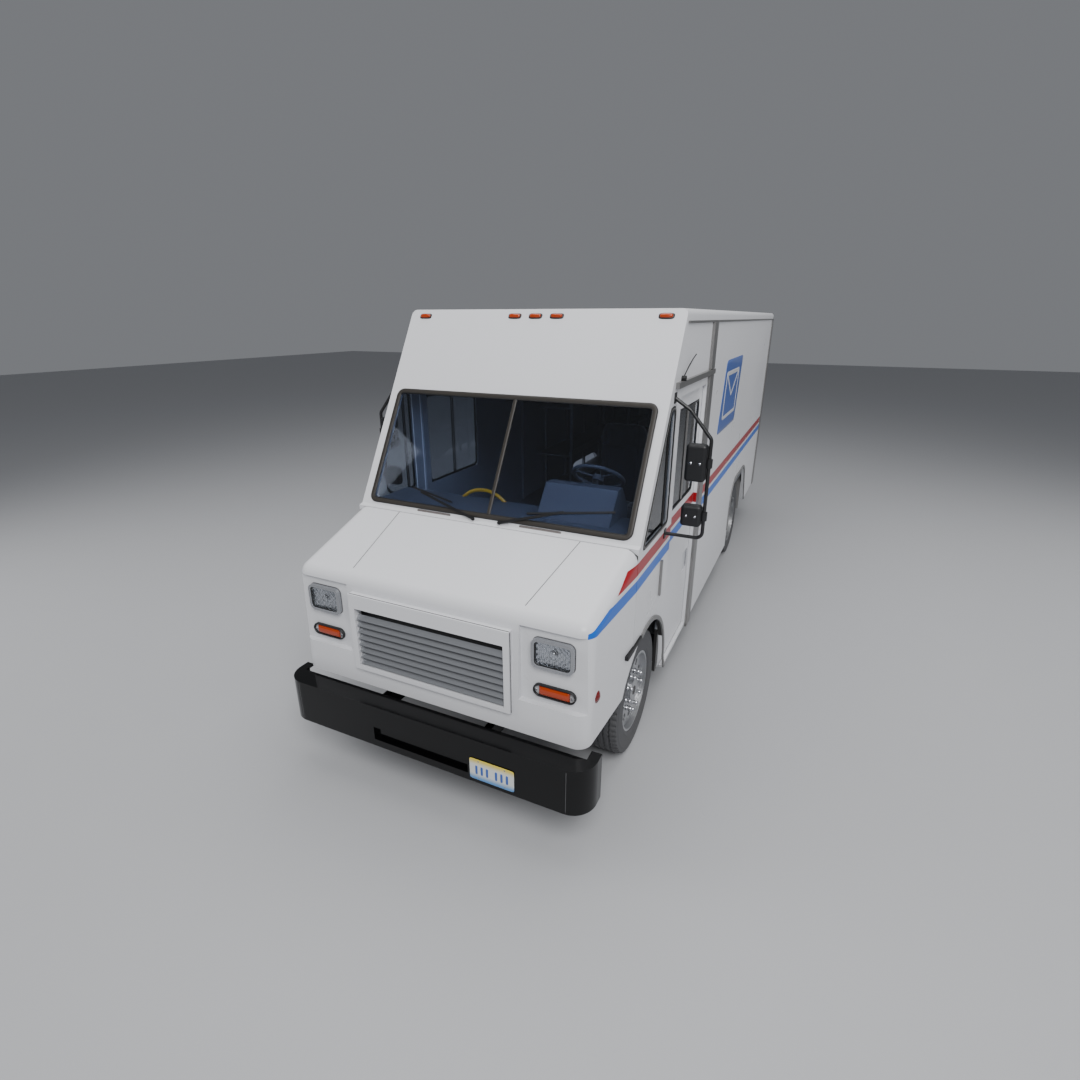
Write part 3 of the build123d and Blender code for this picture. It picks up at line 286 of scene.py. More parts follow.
def shade_group():
    """Slow change of shade over a surface: broad noise lightens and darkens a colour a little."""
    group, start, end = new_group(
        "shade drift",
        [
            ("Color", "NodeSocketColor", (0.5, 0.5, 0.5, 1)),
            ("Scale", "NodeSocketFloat", 3.0),
            ("Change", "NodeSocketFloat", 0.06),
        ],
        [("Color", "NodeSocketColor"), ("Value", "NodeSocketFloat")],
    )
    place = add_node(group, "ShaderNodeTexCoord")
    noise = add_node(group, "ShaderNodeTexNoise", values={"Detail": 5.0, "Roughness": 0.6})
    adjust = add_node(group, "ShaderNodeHueSaturation")
    link_chain(
        group,
        (place.outputs["Object"], noise.inputs["Vector"]),
        (start.outputs["Scale"], noise.inputs["Scale"]),
        (start.outputs["Color"], adjust.inputs["Color"]),
    )
    centred = math_node(group, "SUBTRACT", noise.outputs["Fac"], 0.5)
    change = math_node(group, "MULTIPLY_ADD", centred, start.outputs["Change"], 1.0)
    link_chain(
        group,
        (change, adjust.inputs["Value"]),
        (adjust.outputs["Color"], end.inputs["Color"]),
        (noise.outputs["Fac"], end.inputs["Value"]),
    )
    return group


def weave_group():
    """Woven cloth: two crossed waves on object coordinates give the height of the threads."""
    group, start, end = new_group(
        "weave",
        [("Threads", "NodeSocketFloat", 500.0), ("Depth", "NodeSocketFloat", 0.5)],
        [("Value", "NodeSocketFloat"), ("Normal", "NodeSocketVector")],
    )
    split = object_axes(group)
    bump = add_node(group, "ShaderNodeBump", values={"Distance": 0.0006})
    threads = start.outputs["Threads"]
    across = math_node(group, "SINE", math_node(group, "MULTIPLY", split.outputs["X"], threads))
    slant = math_node(group, "ADD", split.outputs["Y"], split.outputs["Z"])
    along = math_node(group, "SINE", math_node(group, "MULTIPLY", slant, threads))
    height = math_node(group, "MULTIPLY", across, along)
    link_chain(
        group,
        (height, bump.inputs["Height"]),
        (start.outputs["Depth"], bump.inputs["Strength"]),
        (height, end.inputs["Value"]),
        (bump.outputs["Normal"], end.inputs["Normal"]),
    )
    return group


GROUPS = {}


def group_node(tree, name, **values):
    """Places one of the shared groups in a material."""
    makers = {"grain": grain_group, "dust": dust_group, "shade": shade_group, "weave": weave_group}
    if name not in GROUPS:
        GROUPS[name] = makers[name]()
    node = tree.nodes.new("ShaderNodeGroup")
    node.node_tree = GROUPS[name]
    for key, value in values.items():
        node.inputs[key.replace("_", " ")].default_value = value
    return node


# Materials


def opaque(colour):
    """A colour with full alpha."""
    return (*colour, 1.0)


def new_material(name):
    """A material with nodes: itself, its tree and its shader."""
    material = bpy.data.materials.new(name)
    material.use_nodes = True
    return material, material.node_tree, material.node_tree.nodes["Principled BSDF"]


def base_colour(shader):
    """The socket that feeds a shader's colour."""
    return shader.inputs["Base Color"].links[0].from_socket


def finish_material(name, colour, roughness, metallic=0.0, grain=None, drift=0.08, dust=0.0, coat=0.0,
                    coat_roughness=0.05, weave=None, sheen=0.0):
    """A surface with drifting shade, grain or weave in its bump, and road dust where it shows."""
    material, tree, shader = new_material(name)
    shader.inputs["Metallic"].default_value = metallic
    shader.inputs["Coat Weight"].default_value = coat
    shader.inputs["Coat Roughness"].default_value = coat_roughness
    shader.inputs["Sheen Weight"].default_value = sheen
    shade = group_node(tree, "shade", Color=opaque(colour), Scale=3.0, Change=drift)
    last_colour = shade.outputs["Color"]
    rough = math_node(tree, "MULTIPLY_ADD", shade.outputs["Value"], 0.12, roughness - 0.06)
    if dust:
        layer = group_node(tree, "dust", Dust=opaque(bpy.context.scene.truck_colours.dust), Amount=dust)
        tree.links.new(last_colour, layer.inputs["Color"])
        last_colour = layer.outputs["Color"]
        rough = math_node(tree, "MULTIPLY_ADD", layer.outputs["Mask"], 0.6, rough)
    if grain:
        bumps = group_node(tree, "grain", Scale=grain[0], Depth=grain[1])
        tree.links.new(bumps.outputs["Normal"], shader.inputs["Normal"])
    if weave:
        cloth = group_node(tree, "weave", Threads=weave[0], Depth=weave[1])
        tree.links.new(cloth.outputs["Normal"], shader.inputs["Normal"])
    tree.links.new(last_colour, shader.inputs["Base Color"])
    tree.links.new(rough, shader.inputs["Roughness"])
    return material


def clear_material(name, colour, roughness, side_colour=None):
    """Clear or tinted glass with faint smears in its roughness; light passes it as through a tinted sheet.
    Glass out at the truck's sides takes the side colour."""
    material, tree, shader = new_material(name)
    shader.inputs["Transmission Weight"].default_value = 1.0
    shader.inputs["IOR"].default_value = 1.45
    shade = group_node(tree, "shade", Color=opaque(colour), Scale=1.5, Change=0.05)
    rough = math_node(tree, "MULTIPLY_ADD", shade.outputs["Value"], 0.03, roughness)
    tree.links.new(shade.outputs["Color"], shader.inputs["Base Color"])
    tree.links.new(rough, shader.inputs["Roughness"])
    sheet = add_node(tree, "ShaderNodeBsdfTransparent", values={"Color": opaque(colour)})
    if side_colour:
        wide = math_node(tree, "ABSOLUTE", object_axes(tree).outputs["X"])
        at_side = math_node(tree, "GREATER_THAN", wide, SIDE_GLASS_X)
        tint = mix_colours(tree, at_side, opaque(colour), opaque(side_colour))
        link_chain(tree, (tint, shade.inputs["Color"]), (tint, sheet.inputs["Color"]))
    path = add_node(tree, "ShaderNodeLightPath")
    mix = add_node(tree, "ShaderNodeMixShader")
    link_chain(
        tree,
        (path.outputs["Is Shadow Ray"], mix.inputs[0]),
        (shader.outputs[0], mix.inputs[1]),
        (sheet.outputs[0], mix.inputs[2]),
        (mix.outputs[0], tree.nodes["Material Output"].inputs["Surface"]),
    )
    return material


def band(tree, value, low, high):
    """One between low and high, else nought."""
    above = math_node(tree, "GREATER_THAN", value, low)
    below = math_node(tree, "LESS_THAN", value, high)
    return math_node(tree, "MULTIPLY", above, below)


# Mask of the painted shade: where the grey of the dim cab and cargo space is laid.
def interior_shade_mask(tree, split, skin):
    """One on the faces within the walls, the roof and the raked front, nought on the outer skin; the skin is
    how far out the inner face of a wall or door may lie."""
    wide = math_node(tree, "ABSOLUTE", split.outputs["X"])
    mask = math_node(tree, "LESS_THAN", wide, skin)
    beneath = math_node(tree, "LESS_THAN", split.outputs["Z"], CAD_BOX[1].z - 0.028)
    between = band(tree, split.outputs["Y"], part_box("cab_front")[0].y + 0.017,
                   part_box("side_panel_left")[1].y - 0.027)
    mask = math_node(tree, "MULTIPLY", math_node(tree, "MULTIPLY", mask, beneath), between)
    outward = raked_frame()[0]
    pivot = JOINTS["wiper_sweep_left"]["pos_m"]
    level = math_node(tree, "MULTIPLY_ADD", split.outputs["Y"], float(outward[1]),
                      -float(outward[1] * pivot[1] + outward[2] * pivot[2]))
    level = math_node(tree, "MULTIPLY_ADD", split.outputs["Z"], float(outward[2]), level)
    return math_node(tree, "MULTIPLY", mask, math_node(tree, "LESS_THAN", level, -0.02))


def grille_paint():
    """Body white on the grille's surround and bare metal on its slats."""
    colours = bpy.context.scene.truck_colours
    material = finish_material("grille_paint", colours.white, 0.3, grain=(240.0, 0.05), dust=0.12)
    tree = material.node_tree
    shader = tree.nodes["Principled BSDF"]
    split = object_axes(tree)
    slats = math_node(tree, "LESS_THAN", math_node(tree, "ABSOLUTE", split.outputs["X"]), SLAT_HALF)
    slats = math_node(tree, "MULTIPLY", slats, band(tree, split.outputs["Z"], SLAT_LOW, SLAT_HIGH))
    metal = mix_colours(tree, slats, base_colour(shader), (0.30, 0.31, 0.33, 1))
    link_chain(
        tree,
        (metal, shader.inputs["Base Color"]),
        (math_node(tree, "MULTIPLY", slats, 0.55), shader.inputs["Metallic"]),
    )
    return material


def plate_paint():
    """Licence plate: a yellow wash over its top, white in the middle, a blue wash at its foot."""
    material = finish_material("plate_sheet", (0.70, 0.72, 0.70), 0.35, grain=(300.0, 0.1), dust=0.05)
    tree = material.node_tree
    shader = tree.nodes["Principled BSDF"]
    low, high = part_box("licence_plate")
    split = object_axes(tree)
    climb = add_node(tree, "ShaderNodeMapRange")
    climb.inputs["From Min"].default_value = low.z
    climb.inputs["From Max"].default_value = high.z
    tree.links.new(split.outputs["Z"], climb.inputs["Value"])
    rise = climb.outputs["Result"]
    washed = base_colour(shader)
    for gain, offset, colour in ((5.0, -3.6, (0.78, 0.62, 0.10, 1)), (-4.5, 1.35, (0.12, 0.30, 0.60, 1))):
        ramp = math_node(tree, "MAXIMUM", 0.0, math_node(tree, "MULTIPLY_ADD", rise, gain, offset))
        washed = mix_colours(tree, math_node(tree, "SMOOTH_MIN", 1.0, ramp, 0.1), washed, colour)
    tree.links.new(washed, shader.inputs["Base Color"])
    return material


def wheel_house_mask(tree, split, reach, top):
    """One within the reach of a front axle's line and below the top, as on the faces round a front wheel."""
    axle = JOINTS["front_spin_left"]["pos_m"]
    along = math_node(tree, "SUBTRACT", split.outputs["Y"], float(axle[1]))
    climb = math_node(tree, "SUBTRACT", split.outputs["Z"], float(axle[2]))
    square = math_node(tree, "ADD", math_node(tree, "MULTIPLY", along, along),
                       math_node(tree, "MULTIPLY", climb, climb))
    near = math_node(tree, "LESS_THAN", square, reach * reach)
    return math_node(tree, "MULTIPLY", near, math_node(tree, "LESS_THAN", split.outputs["Z"], top))


def body_paint(name, skin):
    """Gloss white with the two side stripes, drifting shade, fine orange peel and road dust; painted shade
    within
    the skin: a grey that stands in for the dim cab and cargo space."""
    sizes = bpy.context.scene.truck_body
    colours = bpy.context.scene.truck_colours
    material, tree, shader = new_material(name)
    shader.inputs["Coat Roughness"].default_value = 0.04
    shader.inputs["Coat Weight"].default_value = 0.06
    shader.inputs["Specular IOR Level"].default_value = 0.3
    split = object_axes(tree)
    wide = math_node(tree, "ABSOLUTE", split.outputs["X"])
    side = math_node(tree, "GREATER_THAN", wide, STRIPE_X)
    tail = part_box("side_panel_left")[1].y - STRIPE_TAIL
    side = math_node(tree, "MULTIPLY", side, math_node(tree, "LESS_THAN", split.outputs["Y"], tail))
    blue_top = sizes.stripe_low + sizes.stripe_blue
    red_low = blue_top + sizes.stripe_gap
    stripes = []
    # Each stripe ends in a slanted tip on the hood.
    spans = ((sizes.stripe_low, blue_top), (red_low, red_low + sizes.stripe_red))
    for (low, high), (tip_y, tip_z, slant) in zip(spans, STRIPE_TIPS):
        edge = math_node(tree, "MULTIPLY_ADD", split.outputs["Z"], slant, tip_y - slant * tip_z)
        behind = math_node(tree, "GREATER_THAN", split.outputs["Y"], edge)
        level = band(tree, split.outputs["Z"], low, high)
        stripes.append(math_node(tree, "MULTIPLY", math_node(tree, "MULTIPLY", side, behind), level))
    blue, red = stripes
    shade = group_node(tree, "shade", Color=opaque(colours.white), Scale=1.2, Change=0.04)
    striped = mix_colours(tree, blue, shade.outputs["Color"], opaque(colours.blue))
    striped = mix_colours(tree, red, striped, opaque(colours.red))
    # Painted shade: faces inside the cab, the cargo space and the hood take a grey as if in shadow.
    striped = mix_colours(tree, interior_shade_mask(tree, split, skin), striped, opaque(colours.interior_shade_grey))
    house = wheel_house_mask(tree, split, WHEEL_HOUSE_REACH, WHEEL_HOUSE_TOP)
    striped = mix_colours(tree, house, striped, HOUSE_BLACK)
    layer = group_node(tree, "dust", Dust=opaque(colours.dust), Amount=0.16)
    peel = group_node(tree, "grain", Scale=260.0, Depth=0.035)
    link_chain(
        tree,
        (striped, layer.inputs["Color"]),
        (layer.outputs["Color"], shader.inputs["Base Color"]),
        (peel.outputs["Normal"], shader.inputs["Normal"]),
    )
    rough = math_node(tree, "MULTIPLY_ADD", shade.outputs["Value"], 0.1, 0.24)
    rough = math_node(tree, "MULTIPLY_ADD", layer.outputs["Mask"], 0.5, rough)
    tree.links.new(rough, shader.inputs["Roughness"])
    return material


def tread_plate():
    """Worn ribbed floor: square ribs side by side across the truck, near black round the front wheels."""
    material = finish_material("floor_metal", (0.20, 0.21, 0.23), 0.45, 0.6, drift=0.3, dust=0.4)
    tree = material.node_tree
    shader = tree.nodes["Principled BSDF"]
    split = object_axes(tree)
    bump = add_node(tree, "ShaderNodeBump", values={"Distance": 0.003, "Strength": 0.8})
    wave = math_node(tree, "SINE", math_node(tree, "MULTIPLY", split.outputs["X"], 150.0))
    ribs = math_node(tree, "GREATER_THAN", wave, 0.2)
    house = wheel_house_mask(tree, split, FLOOR_HOUSE_REACH, FLOOR_HOUSE_TOP)
    darker = mix_colours(tree, house, base_colour(shader), HOUSE_BLACK)
    tree.links.new(darker, shader.inputs["Base Color"])
    link_chain(tree, (ribs, bump.inputs["Height"]), (bump.outputs["Normal"], shader.inputs["Normal"]))
    return material


def bumper_paint():
    """Black gloss paint with drifting shade."""
    material = finish_material("bumper_paint", (0.002, 0.002, 0.0022), 0.12, grain=(160.0, 0.02), drift=0.4)
    material.node_tree.nodes["Principled BSDF"].inputs["Specular IOR Level"].default_value = 0.3
    return material


def make_materials():
    """Every finish of the truck, by a plain name."""
    colours = bpy.context.scene.truck_colours
    return {
        "body_paint": body_paint("body_paint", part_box("side_panel_left")[1].x - 0.0292),
        "door_paint": body_paint("door_paint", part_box("door_left")[1].x - 0.010),
        "bumper_paint": bumper_paint(),
        "chassis_paint": finish_material("chassis_paint", (0.012, 0.012, 0.013), 0.42, grain=(120.0, 0.2),
                                         drift=0.4, dust=0.12, coat=0.2),
        "iron": finish_material("cast_iron", (0.10, 0.10, 0.105), 0.55, 0.7, grain=(180.0, 0.5), drift=0.3,
                                dust=0.5),
        "tank": finish_material("tank_aluminium", (0.5, 0.51, 0.53), 0.35, 1.0, grain=(90.0, 0.1), dust=0.4),
        "trim": finish_material("anodised_trim", (0.30, 0.295, 0.29), 0.36, 0.8, grain=(300.0, 0.08),
                                dust=0.2),
        "arch_trim": finish_material("arch_trim", (0.19, 0.19, 0.19), 0.5, grain=(300.0, 0.2), dust=0.2),
        "frame_trim": finish_material("glazing_trim", (0.034, 0.030, 0.026), 0.42, grain=(300.0, 0.15)),
        "galvanised": finish_material("galvanised_steel", (0.42, 0.44, 0.47), 0.38, 0.9, grain=(60.0, 0.15),
                                      drift=0.3),
        "glass": clear_material("window_glass", colours.glass, 0.0, colours.side_glass),
        "lens": clear_material("lamp_glass", (0.93, 0.95, 0.97), 0.02),
        "rubber": finish_material("black_rubber", (0.007, 0.007, 0.008), 0.5, grain=(400.0, 0.2), dust=0.02),
        "tyre": finish_material("tyre_rubber", (0.060, 0.062, 0.068), 0.60, grain=(350.0, 0.3), drift=0.3,
                                dust=0.18),
        "rim": finish_material("wheel_metal", (0.55, 0.56, 0.58), 0.3, 0.95, grain=(220.0, 0.1), drift=0.15,
                               dust=0.35),
        "chrome": finish_material("chrome_plate", (0.50, 0.51, 0.54), 0.12, 1.0, grain=(60.0, 0.03)),
        "bezel": finish_material("bezel_metal", (0.40, 0.41, 0.43), 0.2, 0.9, grain=(200.0, 0.05)),
        "amber": finish_material("amber_lens", colours.amber, 0.16, grain=(500.0, 0.15), coat=0.3, drift=0.2),
        "lamp_red": finish_material("red_lens", colours.lamp_red, 0.16, grain=(500.0, 0.15), coat=0.3,
                                    drift=0.2),
        "plate": plate_paint(),
        "grille": grille_paint(),
        "bead": finish_material("window_bead", (0.012, 0.012, 0.012), 0.4, grain=(300.0, 0.15)),
        "vent_slot": finish_material("vent_slot", (0.15, 0.135, 0.13), 0.5, grain=(200.0, 0.1)),
        "dark_plastic": finish_material("dark_plastic", (0.014, 0.0145, 0.016), 0.42, grain=(700.0, 0.35),
                                        drift=0.2),
        "grey_plastic": finish_material("grey_plastic", (0.11, 0.12, 0.145), 0.5, grain=(600.0, 0.35)),
        "fabric": finish_material("seat_cloth", (0.016, 0.019, 0.028), 0.85, weave=(2600.0, 0.35), sheen=0.3),
        "piping": finish_material("seat_piping", (0.02, 0.02, 0.022), 0.6, grain=(500.0, 0.2)),
        "yellow": finish_material("yellow_paint", (0.72, 0.42, 0.01), 0.3, grain=(150.0, 0.08), coat=0.5),
        "floor": tread_plate(),
        "mirror": finish_material("mirror_glass", (0.85, 0.87, 0.9), 0.03, 1.0, grain=(20.0, 0.01)),
        "emblem": finish_material("emblem_film", colours.emblem, 0.3, grain=(200.0, 0.03), coat=0.5),
        "white_film": finish_material("white_film", colours.white, 0.3, grain=(200.0, 0.03), coat=0.5),
        "screen": finish_material("grille_mesh", (0.008, 0.008, 0.009), 0.6, grain=(800.0, 0.8)),
        "seam": finish_material("seam_shadow", (0.10, 0.10, 0.105), 0.7, grain=(300.0, 0.1)),
    }


MATERIALS = {}

NODE_FINISH = {
    "chassis_paint": ("frame_rail_left", "frame_rail_right", "crossmembers", "brake_pedal", "mirror_brackets",
                      "rear_bumper"),
    "iron": ("suspension", "engine", "knuckle_left", "knuckle_right"),
    "tank": ("fuel_tank",),
    "bumper_paint": ("front_bumper",),
    "body_paint": ("side_panel_left", "side_panel_right", "roof_panel", "cab_front", "rear_frame",
                   "rear_door_left", "rear_door_right", "hood_shell"),
    "door_paint": ("door_left", "door_right"),
    "rubber": ("hood_latches", "wiper_left", "wiper_right"),
    "frame_trim": ("windshield_frame",),
    "arch_trim": ("wheel_arches",),
    "glass": ("fixed_glass", "door_glass_left", "door_glass_right"),
    "floor": ("cargo_floor", "cab_floor"),
    "trim": ("side_trim",),
    "amber": ("body_lamps", "signal_lamps"),
    "lens": ("headlight_lenses",),
    "plate": ("licence_plate",),
    "dark_plastic": ("steering_column", "gear_selector", "seat_frame", "mirror_upper_left",
                     "mirror_upper_right", "mirror_lower_left", "mirror_lower_right"),
    "grey_plastic": ("dashboard", "steering_wheel"),
    "fabric": ("seat_cushions",),
    "galvanised": ("shelves",),
    "yellow": ("grab_handle",),
    "chrome": ("rear_latch_handle",),
    "bezel": ("headlight_bezels",),
    "grille": ("grille_louvres",),
    "tyre": ("front_tyre_left", "front_tyre_right", "rear_tyres_left", "rear_tyres_right"),
    "rim": ("front_rim_left", "front_rim_right", "rear_rims_left", "rear_rims_right"),
}


# Surfaces


def sheet_mesh(name, points, wrap_u=False, wrap_v=False, smooth=True):
    """A mesh object from a grid of points, u by v, joined up where a direction wraps round."""
    count_u, count_v = points.shape[:2]
    index = np.arange(count_u * count_v).reshape(count_u, count_v)
    if wrap_u:
        index = np.vstack([index, index[:1]])
    if wrap_v:
        index = np.hstack([index, index[:, :1]])
    quads = np.stack([index[:-1, :-1], index[1:, :-1], index[1:, 1:], index[:-1, 1:]], -1).reshape(-1, 4)
    return mesh_object(name, points.reshape(-1, 3), quads, smooth)


def mesh_object(name, points, quads, smooth=True):
    """A linked object from points and four-sided faces."""
    mesh = bpy.data.meshes.new(name)
    mesh.vertices.add(len(points))
    mesh.vertices.foreach_set("co", np.asarray(points, np.float32).ravel())
    mesh.loops.add(quads.size)
    mesh.loops.foreach_set("vertex_index", quads.astype(np.int32).ravel())
    mesh.polygons.add(len(quads))
    mesh.polygons.foreach_set("loop_start", np.arange(0, quads.size, quads.shape[1], dtype=np.int32))
    mesh.polygons.foreach_set("use_smooth", np.full(len(quads), smooth))
    mesh.update(calc_edges=True)
    mesh.validate()
    thing = bpy.data.objects.new(name, mesh)
    bpy.context.scene.collection.objects.link(thing)
    return thing


def joined(name, shapes):
    """Grids of one size as separate pieces of one mesh object."""
    shapes = np.asarray(shapes)
    total, count_u, count_v = shapes.shape[:3]
    index = np.arange(count_u * count_v).reshape(count_u, count_v)
    quads = np.stack([index[:-1, :-1], index[1:, :-1], index[1:, 1:], index[:-1, 1:]], -1).reshape(-1, 4)
    offsets = np.arange(total)[:, None, None] * (count_u * count_v)
    return mesh_object(name, shapes.reshape(-1, 3), (quads[None] + offsets).reshape(-1, 4))


def dress(thing, body, finish, thickness=0.0, angle=None):
    """Gives a piece its finish, thickness and slot, and lets it ride on a body."""
    thing.data.materials.append(MATERIALS[finish])
    if thickness:
        wall = thing.modifiers.new("thickness", "SOLIDIFY")
        wall.thickness = abs(thickness)
        wall.offset = 1.0 if thickness > 0 else -1.0
    if angle:
        soft = thing.modifiers.new("edges", "BEVEL")
        soft.width = angle
        soft.segments = 2
        soft.limit_method = "ANGLE"
    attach(thing, body)
    return thing


def grid(count_u, count_v):
    """Two arrays that run from -1 to 1 across a grid."""
    return np.meshgrid(np.linspace(-1, 1, count_u), np.linspace(-1, 1, count_v), indexing="ij")


def rounded_square(u, v, power):
    """Moves a square grid onto a disc-like outline: the larger power, the squarer its corners.
    Each ring of the grid is scaled by the superellipse radius in its own direction."""
    ring = np.maximum(np.abs(u), np.abs(v))
    angle = np.arctan2(v, u)
    reach = (np.abs(np.cos(angle)) ** power + np.abs(np.sin(angle)) ** power) ** (-1 / power)
    return ring * reach * np.cos(angle), ring * reach * np.sin(angle)


def disc(count_u, count_v, power):
    """A grid with its rounded outline: the square directions, then the rounded ones."""
    u, v = grid(count_u, count_v)
    return (u, v, *rounded_square(u, v, power))


def crown(u, v):
    """One in the middle of a grid and nought on its edge: a square bowl upside down."""
    return (1 - u ** 2) * (1 - v ** 2)


def tube(name, path, radius, sides=10, closed=False):
    """A round tube along a path of points; each ring stands square to the path there.
    Its ends are closed by a last ring of no radius."""
    path = np.asarray(path, float)
    if closed:
        ahead = np.roll(path, -1, 0) - np.roll(path, 1, 0)
        radii = np.full(len(path), radius)
    else:
        path = np.vstack([path[:1], path, path[-1:]])
        ahead = np.gradient(path[1:-1], axis=0)
        ahead = np.vstack([ahead[:1], ahead, ahead[-1:]])
        radii = np.full(len(path), radius)
        radii[[0, -1]] = 0.0
    ahead /= np.linalg.norm(ahead, axis=1)[:, None]
    side = np.cross(ahead, np.array([0.31, 0.17, 0.93]))
    side /= np.linalg.norm(side, axis=1)[:, None]
    lift = np.cross(side, ahead)
    turn = np.linspace(0, TAU, sides, endpoint=False)
    ring = np.cos(turn)[None, :, None] * side[:, None, :] + np.sin(turn)[None, :, None] * lift[:, None, :]
    points = path[:, None, :] + ring * radii[:, None, None]
    return sheet_mesh(name, points, wrap_u=closed, wrap_v=True)


def path_strip(name, path, across, outward, width, height):
    """A closed strip with a crowned section carried along a path: half-round over its width."""
    path = np.asarray(path, float)
    turn = np.linspace(0, math.pi, 7)
    section = np.stack([np.cos(turn) * width / 2, np.sin(turn) * height], -1)
    section = np.vstack([section, [[-width / 2, -STRIP_SINK], [width / 2, -STRIP_SINK]]])
    points = (path[:, None, :] + across[:, None, :] * section[None, :, :1]
              + np.asarray(outward)[None, None, :] * section[None, :, 1:])
    return sheet_mesh(name, points, wrap_u=True, wrap_v=True)


def loop_across(path, outward):
    """Directions in the plane of a closed path that point away from its middle line."""
    ahead = np.roll(path, -1, 0) - np.roll(path, 1, 0)
    ahead /= np.linalg.norm(ahead, axis=1)[:, None]
    return np.cross(ahead, np.asarray(outward, float))


def round_corners(corners, radius, steps=6):
    """A closed path of corner points with each corner turned into an arc by a quadratic curve."""
    corners = np.asarray(corners, float)
    before = np.roll(corners, 1, 0) - corners
    after = np.roll(corners, -1, 0) - corners
    before *= (radius / np.linalg.norm(before, axis=1))[:, None]
    after *= (radius / np.linalg.norm(after, axis=1))[:, None]
    t = np.linspace(0, 1, steps)[None, :, None]
    start, end = (corners + before)[:, None, :], (corners + after)[:, None, :]
    curve = (1 - t) ** 2 * start + 2 * t * (1 - t) * corners[:, None, :] + t ** 2 * end
    return curve.reshape(-1, 3)


def side_strip(name, corners, sign, radius, width, height):
    """A crowned strip round corner points on one side of the truck, facing out."""
    path = round_corners(corners, radius)[::sign]
    way = (sign, 0, 0)
    return path_strip(name, path, loop_across(path, way), way, width, height)


def both_sides(points):
    """A grid and its mirror image across the truck, the image turned over so that it faces outwards."""
    other = points * np.array([-1, 1, 1])
    return [points, other[::-1]]


# Pieces


def tyre_points(centre, sizes, radius, rim, width):
    """A closed ring. Its section crosses the crowned tread and goes down and up the bulged walls to the rim;
    the tread sinks along four lines that zigzag round it and in short slots over its shoulders, and two low
    ridges run round each wall."""
    half, shoulder = width / 2, 0.90 * width / 2
    turn = np.linspace(0, TAU, sizes.round_steps, endpoint=False)[:, None]
    tread = np.linspace(1, -1, sizes.section_steps)
    down = np.linspace(0, 1, 30)[1:]
    wall_r = (radius - 0.008) * (1 - down) + rim * down
    ridge = np.exp(-((wall_r - rim - 0.026) / 0.006) ** 2) + np.exp(-((wall_r - rim - 0.115) / 0.006) ** 2)
    wall_x = shoulder + (half - shoulder - 0.003) * np.sin(down * math.pi) ** 0.6 + 0.003 * ridge
    x = np.concatenate([tread * shoulder, -wall_x, wall_x[::-1]])[None, :] + 0 * turn
    r = np.concatenate([radius - 0.008 * tread ** 6, wall_r, wall_r[::-1]])[None, :] + 0 * turn
    on_tread = (np.arange(x.shape[1]) < sizes.section_steps)[None, :]
    zigzag = 0.008 * (np.abs((turn * sizes.tread_blocks / math.pi) % 2 - 1) - 0.5)
    sunk = np.zeros(x.shape, bool)
    for line in (-0.066, -0.023, 0.023, 0.066):
        sunk |= np.abs(x - line - zigzag) < 0.0048
    sunk |= (np.abs(x) > 0.086) & (np.sin(turn * sizes.tread_blocks) > 0.55)
    r = r - sizes.tread_depth * (sunk & on_tread)
    return np.stack([centre[0] + x, centre[1] + r * np.cos(turn), centre[2] + r * np.sin(turn)], -1)


class MAILTRUCK_OT_tyres(bpy.types.Operator):
    """Builds the treaded tyres"""

    bl_idname = "mailtruck.tyres"
    bl_label = "Tyres"

    def execute(self, context):
        sizes = context.scene.truck_wheels
        for side, sign in SIDES:
            for place, node, body, joint in (
                ("front", f"front_tyre_{side}", f"front_wheel_{side}", f"front_spin_{side}"),
                ("rear", f"rear_tyres_{side}", f"rear_wheels_{side}", f"rear_spin_{side}"),
            ):
                low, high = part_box(node)
                centre = JOINTS[joint]["pos_m"]
                radius = (high.z - low.z) / 2
                middles = [centre[0]]
                if place == "rear":
                    middles.append(centre[0] - sign * (high.x - low.x - TYRE_WIDTH))
                for number, x in enumerate(middles):
                    points = tyre_points((x, centre[1], centre[2]), sizes, radius, RIM_RADIUS, TYRE_WIDTH)
                    tyre = sheet_mesh(f"{place}_tread_{side}_{number}", points, wrap_u=True, wrap_v=True)
                    dress(tyre, body, "tyre")
                    if number == 0:
                        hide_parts(node)
        return {"FINISHED"}


class MAILTRUCK_OT_paint(bpy.types.Operator):
    """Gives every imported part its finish"""

    bl_idname = "mailtruck.paint"
    bl_label = "Paint"

    def execute(self, context):
        MATERIALS.update(make_materials())
        for finish, nodes in NODE_FINISH.items():
            for name in nodes:
                part = frame["nodes"][name]
                part.data.materials.clear()
                part.data.materials.append(MATERIALS[finish])
        return {"FINISHED"}


